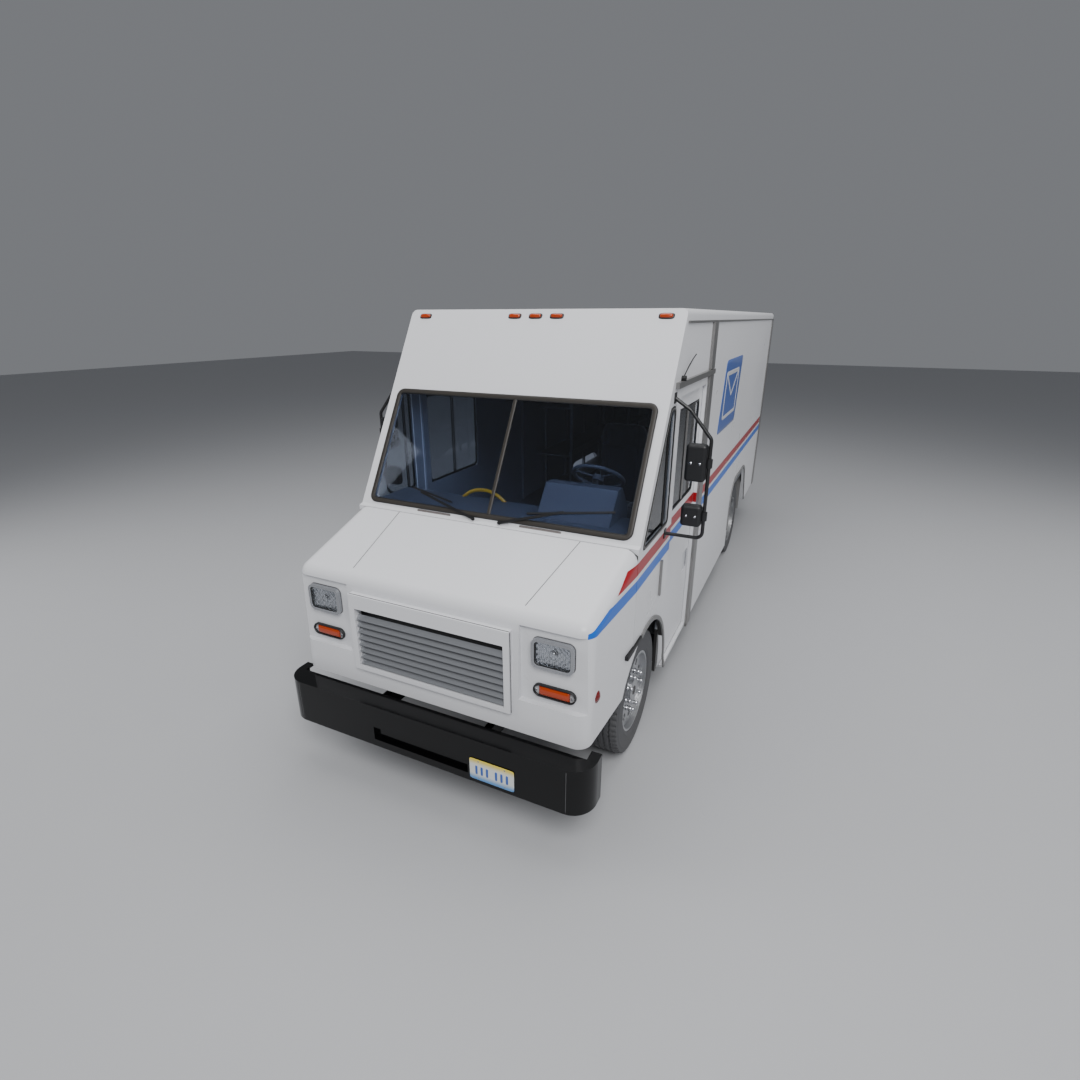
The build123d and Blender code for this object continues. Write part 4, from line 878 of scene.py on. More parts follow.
class MAILTRUCK_OT_headlights(bpy.types.Operator):
    """Builds the fluted headlight glass, its reflector and a dark inner ring of painted shadow round the lens
    """

    bl_idname = "mailtruck.headlights"
    bl_label = "Headlights"

    def execute(self, context):
        sizes = context.scene.truck_lamps
        width, height = sizes.head_width, sizes.head_height
        low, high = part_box("headlight_lenses")
        x, z = high.x - width / 2, (low.z + high.z) / 2
        u, v, a, b = disc(137, 41, 7)
        middle = crown(u, v)
        ripple = np.abs(np.sin(u * sizes.flutes * math.pi / 2)) * 0.0028 * np.sqrt(np.clip(middle, 0, 1))
        face = low.y + 0.006 - 0.009 * middle + ripple
        glass = np.stack([x + a * width / 2, face, z + b * height / 2], -1)
        lens = joined("headlight_glass", both_sides(glass))
        dress(lens, "hood", "lens", thickness=-0.003)
        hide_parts("headlight_lenses")
        u, v, a, b = disc(41, 31, 7)
        bowl = high.y - 0.0015 - 0.013 * (u ** 2 + v ** 2) / 2
        facets = 0.0022 * np.sin(u * 21) * np.cos(v * 13)
        reflector = np.stack([x + a * width * 0.495, bowl + facets, z + b * height * 0.495], -1)
        bowls = joined("headlight_reflectors", both_sides(reflector))
        dress(bowls, "hood", "chrome", thickness=-0.001)
        u, v, a, b = disc(13, 13, 2)
        dome = high.y - 0.016 - 0.004 * crown(u, v)
        shield = np.stack([x + a * 0.024, dome, z + b * 0.024], -1)
        dress(joined("bulb_shields", both_sides(shield)), "hood", "chrome", thickness=-0.003)
        # Painted shadow: a dark bead round the lens's edge stands in for the shade between bezel and lens.
        edge = rounded_outline(width / 2 - 0.001, -height / 2 + 0.001, height / 2 - 0.001, 0.024, 0.0)
        for number, side in enumerate((-1, 1)):
            ring = np.stack([side * x + edge[:, 0], np.full(len(edge), low.y + 0.001), z + edge[:, 1]], -1)
            dress(tube(f"headlight_shadow_ring_{number}", ring, 0.0035, 8, closed=True), "hood", "bead")
        low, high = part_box("headlight_bezels")
        half = (high.x - x, (high.z - low.z) / 2)
        edge = rounded_outline(half[0] + 0.001, -half[1] - 0.001, half[1] + 0.001, 0.041, 0.0)
        for number, side in enumerate((-1, 1)):
            ring = np.stack([side * x + edge[:, 0], np.full(len(edge), high.y - 0.002), z + edge[:, 1]], -1)
            dress(tube(f"bezel_seam_{number}", ring, 0.0025, 6, closed=True), "hood", "seam")
        return {"FINISHED"}


def stadium(width, height, count=48):
    """Closed outline of a bar with round ends, as x and z."""
    turn = np.linspace(0, TAU, count, endpoint=False)
    x = np.cos(turn) * height / 2 + np.sign(np.cos(turn)) * (width - height) / 2
    return np.stack([x, np.sin(turn) * height / 2], -1)


class MAILTRUCK_OT_signals(bpy.types.Operator):
    """Builds the turn signals with dark bezels, fluted amber lenses and end screws"""

    bl_idname = "mailtruck.signals"
    bl_label = "Turn signals"

    def execute(self, context):
        sizes = context.scene.truck_lamps
        width, height = sizes.signal_width, sizes.signal_height
        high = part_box("headlight_bezels")[1]
        x = (high.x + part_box("headlight_lenses")[1].x - sizes.head_width) / 2 - 0.0005
        z = SIGNAL_Z
        back = high.y
        outline = stadium(width, height)
        rings = []
        profile = ((1.0, 0.0), (1.0, 0.016), (0.95, 0.021), (0.86, 0.021), (0.80, 0.016), (0.80, 0.008))
        for share, depth in profile:
            inset = (1 - share) * height / 2
            scale = np.array([1 - 2 * inset / width, share])
            ring = outline * scale
            rings.append(np.stack([x + ring[:, 0], np.full(len(ring), back - depth), z + ring[:, 1]], -1))
        bezel = np.stack(rings)
        bezel = np.concatenate([bezel, bezel[:, :1]], 1)
        cups = joined("signal_bezels", [bezel[::-1], bezel * np.array([-1, 1, 1])])
        dress(cups, "hood", "dark_plastic")
        u, v = grid(61, 17)
        bar = (width - 0.075) / 2
        bulge = np.sqrt(np.clip(1 - v ** 2, 0, 1)) * np.clip((1 - np.abs(u)) * 8, 0, 1) ** 0.5
        lens_z = height * 0.36 * v
        face = back - 0.010 - 0.013 * bulge + 0.0012 * np.cos(v * 22) * bulge
        lens = np.stack([x + u * bar, face, z + lens_z], -1)
        amber = joined("signal_lenses", both_sides(lens))
        dress(amber, "hood", "amber", thickness=-0.004)
        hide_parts("signal_lamps")
        u, v, a, b = disc(9, 9, 2)
        screws = []
        for end in (-1, 1):
            across = x + end * (width / 2 - 0.022) + a * 0.008
            head = np.stack([across, back - 0.018 - 0.004 * crown(u, v), z + b * 0.008], -1)
            screws += both_sides(head)
        dress(joined("signal_screws", screws), "hood", "chrome", thickness=-0.002)
        # Round side markers on the fenders.
        u, v, a, b = disc(21, 21, 2)
        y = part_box("hood_shell")[0].y + 0.147
        dome = 0.014 * crown(u, v)
        rounds = np.stack([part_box("signal_lamps")[1].x - 0.013 + dome, y + a * 0.038, 1.0 + b * 0.038], -1)
        dress(joined("side_markers", both_sides(rounds)), "hood", "lamp_red", thickness=-0.004)
        return {"FINISHED"}


def raked_frame():
    """Directions of the raked front, read from the wiper joint's axis."""
    outward = np.array(JOINTS["wiper_sweep_left"]["axis"], float)
    across = np.array([1.0, 0.0, 0.0])
    up = np.cross(outward, across)
    return outward, across, up


def lamp_dome(centre, across, up, outward, width, height, depth):
    """A long domed lens: a squared disc, highest in its middle, that stands on a step."""
    u, v, a, b = disc(25, 13, 4)
    edge = np.clip((1 - np.maximum(np.abs(u), np.abs(v))) * 6, 0, 1)
    lift = depth * (0.55 * np.sqrt(edge) + 0.45 * crown(u, v))
    return (np.asarray(centre) + a[..., None] * width / 2 * across + b[..., None] * height / 2 * up
            + lift[..., None] * outward)


class MAILTRUCK_OT_markers(bpy.types.Operator):
    """Builds the marker lamps front and rear, and the round rear lamps"""

    bl_idname = "mailtruck.markers"
    bl_label = "Marker lamps"

    def execute(self, context):
        sizes = context.scene.truck_lamps
        outward, across, up = raked_frame()
        width, height = sizes.marker_width, sizes.marker_height
        pivot = np.array(JOINTS["wiper_sweep_left"]["pos_m"], float)
        base = pivot + up * ((MARKER_Z - pivot[2]) / up[2])
        base[0] = 0
        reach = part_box("cab_front")[1].x - MARKER_INSET
        row = (-MARKER_PITCH, 0.0, MARKER_PITCH)
        spots = [base + across * x for x in (-reach, *row, reach)]
        domes = [lamp_dome(spot, across, up, outward, width, height, 0.018) for spot in spots]
        feet = [lamp_dome(spot, across, up, outward, width + 0.016, height + 0.014, 0.007) for spot in spots]
        dress(joined("marker_feet", feet), "truck_body", "bead", thickness=-0.001)
        amber = joined("front_markers", domes)
        dress(amber, "truck_body", "amber", thickness=-0.002)
        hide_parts("body_lamps")
        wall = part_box("side_panel_left")[1].y
        right, top_way, back = np.array([-1.0, 0, 0]), np.array([0, 0, 1.0]), np.array([0, 1.0, 0])
        domes = [lamp_dome((x, wall, REAR_MARKER_Z), right, top_way, back, width, height, 0.018) for x in row]
        dress(joined("rear_markers", domes), "truck_body", "lamp_red", thickness=-0.002)
        for name, heights, finish in (
            ("stop_lamps", (0.85, 2.70), "lamp_red"),
            ("rear_signals", (0.72,), "amber"),
        ):
            rounds = []
            for z in heights:
                for x in (-0.99, 0.99):
                    u, v, a, b = disc(25, 25, 2)
                    ring = np.maximum(np.abs(u), np.abs(v))
                    lift = 0.018 * np.sqrt(np.clip(1 - ring ** 3, 0, 1)) + 0.0008 * np.cos(ring * 40)
                    rounds.append(np.stack([x - a * 0.052, wall + lift, z + b * 0.052], -1))
            dress(joined(name, rounds), "truck_body", finish, thickness=-0.002)
        return {"FINISHED"}


class MAILTRUCK_OT_screen(bpy.types.Operator):
    """Builds the dark mesh behind the louvres"""

    bl_idname = "mailtruck.screen"
    bl_label = "Grille mesh"

    def execute(self, context):
        low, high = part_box("grille_louvres")
        u, v = grid(161, 65)
        y = high.y + 0.025 + 0.002 * np.sin(u * 240) * np.sin(v * 96)
        z = (low.z + high.z) / 2 - 0.03 + v * 0.24
        screen = np.stack([u * 0.558, y, z], -1)
        dress(sheet_mesh("grille_mesh", screen), "hood", "screen", thickness=-0.003)
        return {"FINISHED"}


class MAILTRUCK_OT_seals(bpy.types.Operator):
    """Builds the rubber round the side doors' windows and the bar across each"""

    bl_idname = "mailtruck.seals"
    bl_label = "Window seals"

    def execute(self, context):
        width = context.scene.truck_body.seal_width
        for side, sign in SIDES:
            low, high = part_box(f"door_glass_{side}")
            x = max(abs(corner.x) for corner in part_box(f"door_{side}")) - 0.004
            inset = width / 2 - 0.004
            corners = [(sign * x, low.y + inset, low.z + inset), (sign * x, high.y - inset, low.z + inset),
                       (sign * x, high.y - inset, high.z - inset), (sign * x, low.y + inset, high.z - inset)]
            seal = side_strip(f"door_seal_{side}", corners, sign, 0.05, width, 0.0045)
            dress(seal, f"door_{side}", "rubber")
            middle = (low.y + high.y) / 2
            bar = [(sign * x, middle - 0.014, low.z + width), (sign * x, middle + 0.014, low.z + width),
                   (sign * x, middle + 0.014, high.z - width), (sign * x, middle - 0.014, high.z - width)]
            post = side_strip(f"pane_bar_{side}", bar, sign, 0.006, 0.018, 0.0048)
            dress(post, f"door_{side}", "trim")
        return {"FINISHED"}


def rounded_outline(half, low, high, radius, inset, steps=12):
    """Closed outline of a rounded rectangle drawn in by the inset: a quarter turn about each corner."""
    turn = np.linspace(0, math.pi / 2, steps)
    reach = max(radius - inset, 0.004)
    rows = []
    for number, (side, end) in enumerate(((1, 1), (-1, 1), (-1, -1), (1, -1))):
        angle = turn + number * math.pi / 2
        middle_x = side * (half - inset - reach)
        middle_s = (high - inset - reach) if end > 0 else (low + inset + reach)
        rows.append(np.stack([middle_x + reach * np.cos(angle), middle_s + reach * np.sin(angle)], -1))
    return np.concatenate(rows)


class MAILTRUCK_OT_windshield(bpy.types.Operator):
    """Builds the windshield's rounded surround with its two beads, its middle bar and the vents under it"""

    bl_idname = "mailtruck.windshield"
    bl_label = "Windshield surround"

    def execute(self, context):
        outward, across, up = raked_frame()
        half, foot, top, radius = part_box("windshield_frame")[1].x, 0.018, 0.936, 0.062
        root = np.array(JOINTS["wiper_sweep_left"]["pos_m"], float) - up * 0.004
        root[0] = 0.0
        base = root - outward * float(np.dot(outward, root - np.array(SCREEN_FOOT)))

        def ring(profile):
            rows = [(rounded_outline(half, foot, top, radius, inset), height) for inset, height in profile]
            return np.stack([base + row[:, :1] * across + row[:, 1:] * up + height * outward
                             for row, height in rows])

        for name, finish, profile in (
            ("surround", "frame_trim", ((0.005, -0.0005), (0.005, 0.0080), (0.0085, 0.0096), (0.0285, 0.0096),
                                        (0.032, 0.0080), (0.032, -0.0005))),
            ("outer_bead", "bead", ((0.0, -0.0005), (0.0, 0.0050), (0.0025, 0.0075), (0.0055, 0.0075),
                                    (0.0055, -0.0005))),
            ("inner_bead", "bead", ((0.0315, -0.0005), (0.0315, 0.0085), (0.036, 0.0085), (0.040, 0.0055),
                                    (0.040, -0.0005))),
        ):
            piece = sheet_mesh(f"windshield_{name}", ring(profile), wrap_u=True, wrap_v=True)
            dress(piece, "truck_body", finish)
            if name == "surround":
                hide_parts("windshield_frame")
        bar = np.array([(-0.014, -0.0005), (-0.014, 0.005), (-0.010, 0.008), (0.010, 0.008), (0.014, 0.005),
                        (0.014, -0.0005)])
        climb = np.linspace(foot + 0.034, top - 0.034, 12)
        points = (base + climb[:, None, None] * up + bar[None, :, :1] * across + bar[None, :, 1:] * outward)
        dress(sheet_mesh("windshield_bar", points, wrap_v=True), "truck_body", "frame_trim")
        slots = []
        for start, end in ((-0.588, -0.300), (0.250, 0.560)):
            a, b = disc(25, 5, 12)[2:]
            middle = base + across * (start + end) / 2 + up * 0.006 + outward * 0.0012
            slots.append(middle + a[..., None] * across * (end - start) / 2 + b[..., None] * up * 0.009)
        dress(joined("cowl_vents", slots), "truck_body", "vent_slot", thickness=-0.001)
        return {"FINISHED"}


class MAILTRUCK_OT_vent_windows(bpy.types.Operator):
    """Builds the rubber round the quarter windows and the post in each"""

    bl_idname = "mailtruck.vent_windows"
    bl_label = "Quarter windows"

    def execute(self, context):
        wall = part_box("side_panel_left")[1].x
        corners = [(-2.862, 1.669), (-2.259, 1.669), (-2.259, 2.476), (-2.382, 2.476)]
        posts = [(-2.365, 1.672), (-2.345, 1.672), (-2.345, 2.472), (-2.365, 2.472)]
        for side, sign in SIDES:
            for name, outline, x, radius, width, height, finish in (
                ("vent_seal", corners, wall, 0.045, 0.030, 0.005, "bead"),
                ("vent_trim", corners, wall + 0.003, 0.045, 0.011, 0.004, "trim"),
                ("vent_post", posts, wall - 0.012, 0.008, 0.014, 0.004, "bead"),
            ):
                points = [(sign * x, y, z) for y, z in outline]
                strip = side_strip(f"{name}_{side}", points, sign, radius, width, height)
                dress(strip, "truck_body", finish)
        return {"FINISHED"}


class MAILTRUCK_OT_handles(bpy.types.Operator):
    """Builds the pull handles of the side doors, level with the doors' faces"""

    bl_idname = "mailtruck.handles"
    bl_label = "Door handles"

    def execute(self, context):
        for side, sign in SIDES:
            low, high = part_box(f"door_{side}")
            x = max(abs(low.x), abs(high.x))
            y, z = high.y - HANDLE_INSET, HANDLE_Z
            u, v, a, b = disc(17, 25, 5)
            cup = 0.0002 + 0.0008 * np.clip(1 - np.abs(np.maximum(np.abs(u), np.abs(v)) - 0.85) / 0.15, 0, 1)
            face = np.stack([sign * (x + cup), y + sign * a * 0.042, z + b * 0.085], -1)
            dress(sheet_mesh(f"handle_cup_{side}", face), f"door_{side}", "bezel", thickness=-0.001)
            t = np.linspace(0, 1, 20)[:, None]
            path = np.array([sign * (x - 0.006), y, z - 0.06]) + t * np.array([0, 0, 0.12])
            dress(tube(f"handle_pull_{side}", path, 0.007, 12), f"door_{side}", "bead")
        return {"FINISHED"}


class MAILTRUCK_OT_emblem(bpy.types.Operator):
    """Lays the envelope emblem on both walls"""

    bl_idname = "mailtruck.emblem"
    bl_label = "Side emblem"

    def execute(self, context):
        sizes = context.scene.truck_body
        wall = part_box("side_panel_left")[1].x
        y, z = EMBLEM_Y, EMBLEM_Z
        half_y, half_z = sizes.emblem_width / 2, sizes.emblem_height / 2
        a, b = disc(33, 25, 18)[2:]
        lean = 0.10 * b
        field = np.stack([np.full_like(a, wall + 0.0012), y + a * half_y + lean, z + b * half_z], -1)
        film = joined("emblem_field", both_sides(field))
        dress(film, "truck_body", "emblem", thickness=-0.001)
        flap = [(-0.36, 0.20), (0.36, 0.20), (0.0, -0.02)]
        body = [(-0.38, 0.21), (0.38, 0.21), (0.38, -0.21), (-0.38, -0.21)]
        for name, corners, radius, width in (
            ("envelope_edge", body, 0.03, 0.034),
            ("envelope_flap", flap, 0.02, 0.03),
        ):
            for side, sign in SIDES:
                outline = [(sign * (wall + 0.0018), y + sign * along + 0.15 * climb, z + climb)
                           for along, climb in corners[::-1]]
                strip = side_strip(f"{name}_{side}", outline, sign, radius, width, 0.0012)
                dress(strip, "truck_body", "white_film")
        return {"FINISHED"}


def studs(centres, outward, radius, height):
    """Low domes at the centres, each facing outward; a dome is a small squared disc raised in its middle."""
    outward = np.asarray(outward, float)
    first = np.cross(outward, (0.0, 0.0, 1.0) if abs(outward[2]) < 0.9 else (0.0, 1.0, 0.0))
    first /= np.linalg.norm(first)
    second = np.cross(outward, first)
    u, v, a, b = disc(5, 5, 2)
    lift = height * crown(u, v) - 0.0005
    dome = (a[..., None] * radius * first + b[..., None] * radius * second + lift[..., None] * outward)
    return np.asarray(centres, float)[:, None, None, :] + dome[None]


class MAILTRUCK_OT_rivets(bpy.types.Operator):
    """Sets rivets on both walls, along the wall posts, along the gutters under the roof's edge and low on
    their front part
    """

    bl_idname = "mailtruck.rivets"
    bl_label = "Rivets"

    def execute(self, context):
        sizes = context.scene.truck_body
        low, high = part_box("side_panel_left")
        step = sizes.rivet_pitch
        rows = np.arange(low.y + 2.8, high.y - 0.03, step)
        heights = np.arange(0.62, high.z - 0.06, step)
        wall = high.x
        lines = [np.stack([np.full_like(rows, wall), rows, np.full_like(rows, high.z - 0.035)], -1)]
        foot = rows[rows < 0.9]
        lines.append(np.stack([np.full_like(foot, wall), foot, np.full_like(foot, 0.36)], -1))
        for share in (0.0, 0.25, 0.5, 0.75, 1.0):
            y = high.y - 0.2 - 3.05 * share
            upright = heights[heights > 1.25]
            lines.append(np.stack([np.full_like(upright, wall), np.full_like(upright, y), upright], -1))
        centres = np.concatenate(lines)
        left = studs(centres, (1, 0, 0), sizes.rivet_radius, 0.0025)
        right = studs(centres * np.array([-1, 1, 1]), (-1, 0, 0), sizes.rivet_radius, 0.0025)
        dress(joined("wall_rivets", np.concatenate([left, right])), "truck_body", "white_film")
        return {"FINISHED"}


class MAILTRUCK_OT_antenna(bpy.types.Operator):
    """Builds the rod antenna and its foot beside the windshield's top"""

    bl_idname = "mailtruck.antenna"
    bl_label = "Antenna"

    def execute(self, context):
        radius = context.scene.truck_body.antenna_radius
        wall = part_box("side_panel_left")[1].x
        start = np.array([wall + 0.012, -2.152, 2.663])
        end = np.array([wall + 0.03, -1.893, 2.797])
        t = np.linspace(0, 1, 24)[:, None]
        path = start + (end - start) * t + np.array([0, 0, 0.012]) * np.sin(t * math.pi)
        dress(tube("antenna_rod", path, radius, 10), "truck_body", "rubber")
        foot = np.array([wall, -2.152, 2.655]) + np.linspace(0, 1, 8)[:, None] * np.array([0.03, 0, 0.0])
        dress(tube("antenna_foot", foot, 0.018, 20), "truck_body", "rubber")
        return {"FINISHED"}


class MAILTRUCK_OT_mirrors(bpy.types.Operator):
    """Sets the glass into the mirror heads, with clamp screws"""

    bl_idname = "mailtruck.mirrors"
    bl_label = "Mirror glass"

    def execute(self, context):
        for side, sign in SIDES:
            for level, bulge in (("upper", 0.001), ("lower", 0.009)):
                body = f"mirror_{level}_{side}"
                low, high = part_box(body)
                inner = min(abs(low.x), abs(high.x))
                middle = sign * (inner + 0.070)
                height = high.z - low.z
                u, v, a, b = disc(17, 17, 8)
                face = high.y + 0.0015 + bulge * crown(u, v)
                z = (low.z + high.z) / 2
                glass = np.stack([middle - a * 0.056, face, z + b * (height / 2 - 0.014)], -1)
                dress(sheet_mesh(f"{body}_glass", glass), body, "mirror", thickness=-0.002)
                spots = [(middle + end * 0.03, low.y, z) for end in (-1, 1)]
                screws = joined(f"{body}_screws", studs(spots, (0, -1, 0), 0.009, 0.005))
                dress(screws, body, "chrome")
        return {"FINISHED"}


def cushion_points(centre, size, swell, steps=49):
    """A closed pad: a ball pushed out to a box of soft corners, with its faces crowned and its sides
    drawn in between the corners."""
    turn, rise = np.meshgrid(np.linspace(0, TAU, steps * 2, endpoint=False),
                             np.linspace(-math.pi / 2, math.pi / 2, steps), indexing="ij")

    def power(value, exponent):
        return np.sign(value) * np.abs(value) ** exponent

    x = power(np.cos(rise), 0.35) * power(np.cos(turn), 0.35)
    y = power(np.cos(rise), 0.35) * power(np.sin(turn), 0.35)
    z = power(np.sin(rise), 0.45)
    draw = 1 - 0.03 * (1 - np.abs(x)) * (1 - np.abs(z)) - 0.03 * (1 - np.abs(y)) * (1 - np.abs(z))
    puff = 1 + swell * (1 - x ** 2) * (1 - y ** 2)
    channel = 1 - 0.035 * np.exp(-((np.abs(x) - 0.55) / 0.03) ** 2)
    points = np.stack([x * draw, y * draw, z * puff * channel], -1)
    return points * np.asarray(size) / 2 + np.asarray(centre)


def stuffed(piece, voxel, cap, channels):
    """Fills a pad: an even skin swells under pressure as cloth, no point moving past the cap, and sewn
    channels then sink into its faces as narrow bell curves across it."""
    skin = piece.modifiers.new("skin", "REMESH")
    skin.mode = "VOXEL"
    skin.voxel_size = voxel
    graph = bpy.context.evaluated_depsgraph_get()
    even = bpy.data.meshes.new_from_object(piece.evaluated_get(graph))
    piece.modifiers.clear()
    piece.data = even
    rest = read_points(even)
    cloth = piece.modifiers.new("filling", "CLOTH")
    cloth.settings.quality = 4
    cloth.settings.use_pressure = True
    cloth.settings.uniform_pressure_force = 4.0
    cloth.settings.effector_weights.gravity = 0.0
    cloth.point_cache.frame_start = 1
    cloth.point_cache.frame_end = 20
    for moment in range(1, 21):
        bpy.context.scene.frame_set(moment)
    graph = bpy.context.evaluated_depsgraph_get()
    swollen = piece.evaluated_get(graph).to_mesh()
    shift = read_points(swollen) - rest
    piece.evaluated_get(graph).to_mesh_clear()
    length = np.linalg.norm(shift, axis=1)[:, None]
    points = rest + shift * np.minimum(1.0, cap / np.maximum(length, 1e-9))
    piece.modifiers.clear()
    bpy.context.scene.frame_set(1)
    even.vertices.foreach_set("co", points.astype(np.float32).ravel())
    points = read_points(piece.data)
    middle = (points.min(0) + points.max(0)) / 2
    for axis, place, press, depth in channels:
        groove = depth * np.exp(-((points[:, axis] - middle[axis] - place) / 0.007) ** 2)
        points[:, press] -= np.sign(points[:, press] - middle[press]) * groove
    piece.data.vertices.foreach_set("co", points.astype(np.float32).ravel())
    piece.data.update()
    piece.data.polygons.foreach_set("use_smooth", np.full(len(piece.data.polygons), True))
    soft = piece.modifiers.new("smooth", "SUBSURF")
    soft.levels = soft.render_levels = 1


def read_points(mesh):
    """The points of a mesh as an array."""
    points = np.empty(len(mesh.vertices) * 3, np.float32)
    mesh.vertices.foreach_get("co", points)
    return points.reshape(-1, 3).astype(float)


class MAILTRUCK_OT_seat(bpy.types.Operator):
    """Builds the driver's seat cushions with their piping"""

    bl_idname = "mailtruck.seat"
    bl_label = "Driver's seat"

    def execute(self, context):
        low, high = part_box("seat_cushions")
        x = (low.x + high.x) / 2
        pad = cushion_points((x, low.y + 0.180, low.z + 0.062), (0.446, 0.336, 0.094), 0.10)
        seat = sheet_mesh("seat_pad", pad, wrap_u=True)
        stuffed(seat, 0.006, 0.008, ((0, -0.125, 2, 0.007), (0, 0.125, 2, 0.007), (1, -0.06, 2, 0.006)))
        dress(seat, "seat", "fabric")
        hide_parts("seat_cushions")
        tall = high.z - low.z
        back = cushion_points((0, 0, 0), (0.414, tall - 0.036, 0.088), 0.08)
        back = np.stack([back[..., 0] + x, -back[..., 2] + high.y - 0.062,
                         back[..., 1] + low.z + tall / 2 + 0.01], -1)
        rest = sheet_mesh("back_pad", back, wrap_u=True)
        stuffed(rest, 0.007, 0.008, ((0, -0.12, 1, 0.007), (0, 0.12, 1, 0.007), (2, 0.17, 1, 0.006)))
        dress(rest, "seat", "fabric")
        turn = np.linspace(0, TAU, 96, endpoint=False)
        a = np.sign(np.cos(turn)) * np.abs(np.cos(turn)) ** 0.35
        b = np.sign(np.sin(turn)) * np.abs(np.sin(turn)) ** 0.35
        loop = np.stack([x + a * 0.224, low.y + 0.180 + b * 0.169, np.full_like(a, low.z + 0.065)], -1)
        dress(tube("seat_piping", loop, 0.0045, 8, closed=True), "seat", "piping")
        return {"FINISHED"}


class MAILTRUCK_OT_instruments(bpy.types.Operator):
    """Builds the gauges on the dashboard"""

    bl_idname = "mailtruck.instruments"
    bl_label = "Instruments"

    def execute(self, context):
        low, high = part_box("dashboard")
        start = np.array([0.0, low.y + 0.472, high.z])
        slope = np.array([0.0, 0.128, -0.157])
        slope /= np.linalg.norm(slope)
        outward = np.array([0.0, 0.157, 0.128])
        outward /= np.linalg.norm(outward)
        across = np.array([-1.0, 0.0, 0.0])
        dials = []
        for x, radius in ((0.34, 0.032), (0.43, 0.045), (0.55, 0.045), (0.66, 0.034), (0.75, 0.034)):
            u, v, a, b = disc(21, 21, 2)
            ring = np.maximum(np.abs(u), np.abs(v))
            lift = 0.002 + 0.006 * np.clip((ring - 0.82) * 12, 0, 1)
            centre = start + slope * 0.10 + np.array([x, 0, 0])
            dials.append(centre + a[..., None] * radius * across - b[..., None] * radius * slope
                         + lift[..., None] * outward)
        dress(joined("gauges", dials), "truck_body", "dark_plastic", thickness=-0.001)
        return {"FINISHED"}


class MAILTRUCK_OT_plate(bpy.types.Operator):
    """Builds the pressed border and plain field of the licence plate"""

    bl_idname = "mailtruck.plate"
    bl_label = "Licence plate"

    def execute(self, context):
        low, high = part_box("licence_plate")
        middle = ((low.x + high.x) / 2, (low.z + high.z) / 2)
        half = ((high.x - low.x) / 2, (high.z - low.z) / 2)
        u, v, a, b = disc(97, 49, 16)
        rim = np.exp(-((np.maximum(np.abs(u), np.abs(v)) - 0.93) / 0.02) ** 2)
        face = low.y + 0.0022 - 0.0015 * rim
        sheet = np.stack([middle[0] + a * half[0], face, middle[1] + b * half[1]], -1)
        plate = sheet_mesh("plate_sheet", sheet)
        dress(plate, "truck_body", "plate", thickness=-0.0015)
        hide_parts("licence_plate")
        bars = []
        for x in (-0.105, -0.068, -0.031, 0.031, 0.068, 0.105):
            u, v, a, b = disc(7, 9, 6)
            lift = 0.0018 * (1 - u ** 6) * (1 - v ** 6)
            bars.append(np.stack([middle[0] + x + a * 0.009, face.min() + 0.0016 - lift,
                                  middle[1] - 0.004 + b * 0.034], -1))
        dress(joined("plate_marks", bars), "truck_body", "emblem", thickness=-0.0005)
        spots = [(middle[0] + x, low.y + 0.0015, middle[1] + z)
                 for x in (-0.09, 0.09) for z in (-0.062, 0.062)]
        bolts = joined("plate_bolts", studs(spots, (0, -1, 0), 0.006, 0.0015))
        dress(bolts, "truck_body", "chrome")
        return {"FINISHED"}


class MAILTRUCK_OT_hubs(bpy.types.Operator):
    """Builds the hub caps and wheel nut sleeves"""

    bl_idname = "mailtruck.hubs"
    bl_label = "Wheel hubs"

    def execute(self, context):
        for side, sign in SIDES:
            for place, hub_out, nut_out in (("front", 0.105, 0.118), ("rear", 0.060, -0.095)):
                centre = np.array(JOINTS[f"{place}_spin_{side}"]["pos_m"], float)
                end = sign * (abs(centre[0]) + hub_out)
                body = f"{place}_wheel_{side}" if place == "front" else f"{place}_wheels_{side}"
                turn = np.linspace(0, TAU, 40, endpoint=False)
                radius, out = np.array(HUB_PROFILE).T[:, :, None]
                x = end + sign * out + 0 * turn[None, :]
                cap = np.stack([x, centre[1] + sign * radius * np.cos(turn),
                                centre[2] + radius * np.sin(turn)], -1)
                hub = sheet_mesh(f"{place}_hub_cap_{side}", cap, wrap_v=True)
                dress(hub, body, "iron", thickness=-0.002)
                angle = np.linspace(0, TAU, 10, endpoint=False)
                reach, height = np.array(NUT_PROFILE).T[:, :, None]
                sides = np.linspace(0, TAU, 13)
                nut = np.stack([height + 0 * sides, reach * np.cos(sides), reach * np.sin(sides)], -1)
                nut = nut * np.array([sign, sign, 1.0])
                seat = sign * (abs(centre[0]) + nut_out - 0.022)
                spots = np.stack([np.full_like(angle, seat), centre[1] + NUT_CIRCLE * np.cos(angle),
                                  centre[2] + NUT_CIRCLE * np.sin(angle)], -1)
                nuts = joined(f"{place}_nuts_{side}", spots[:, None, None, :] + nut[None])
                dress(nuts, body, "chrome")
        return {"FINISHED"}


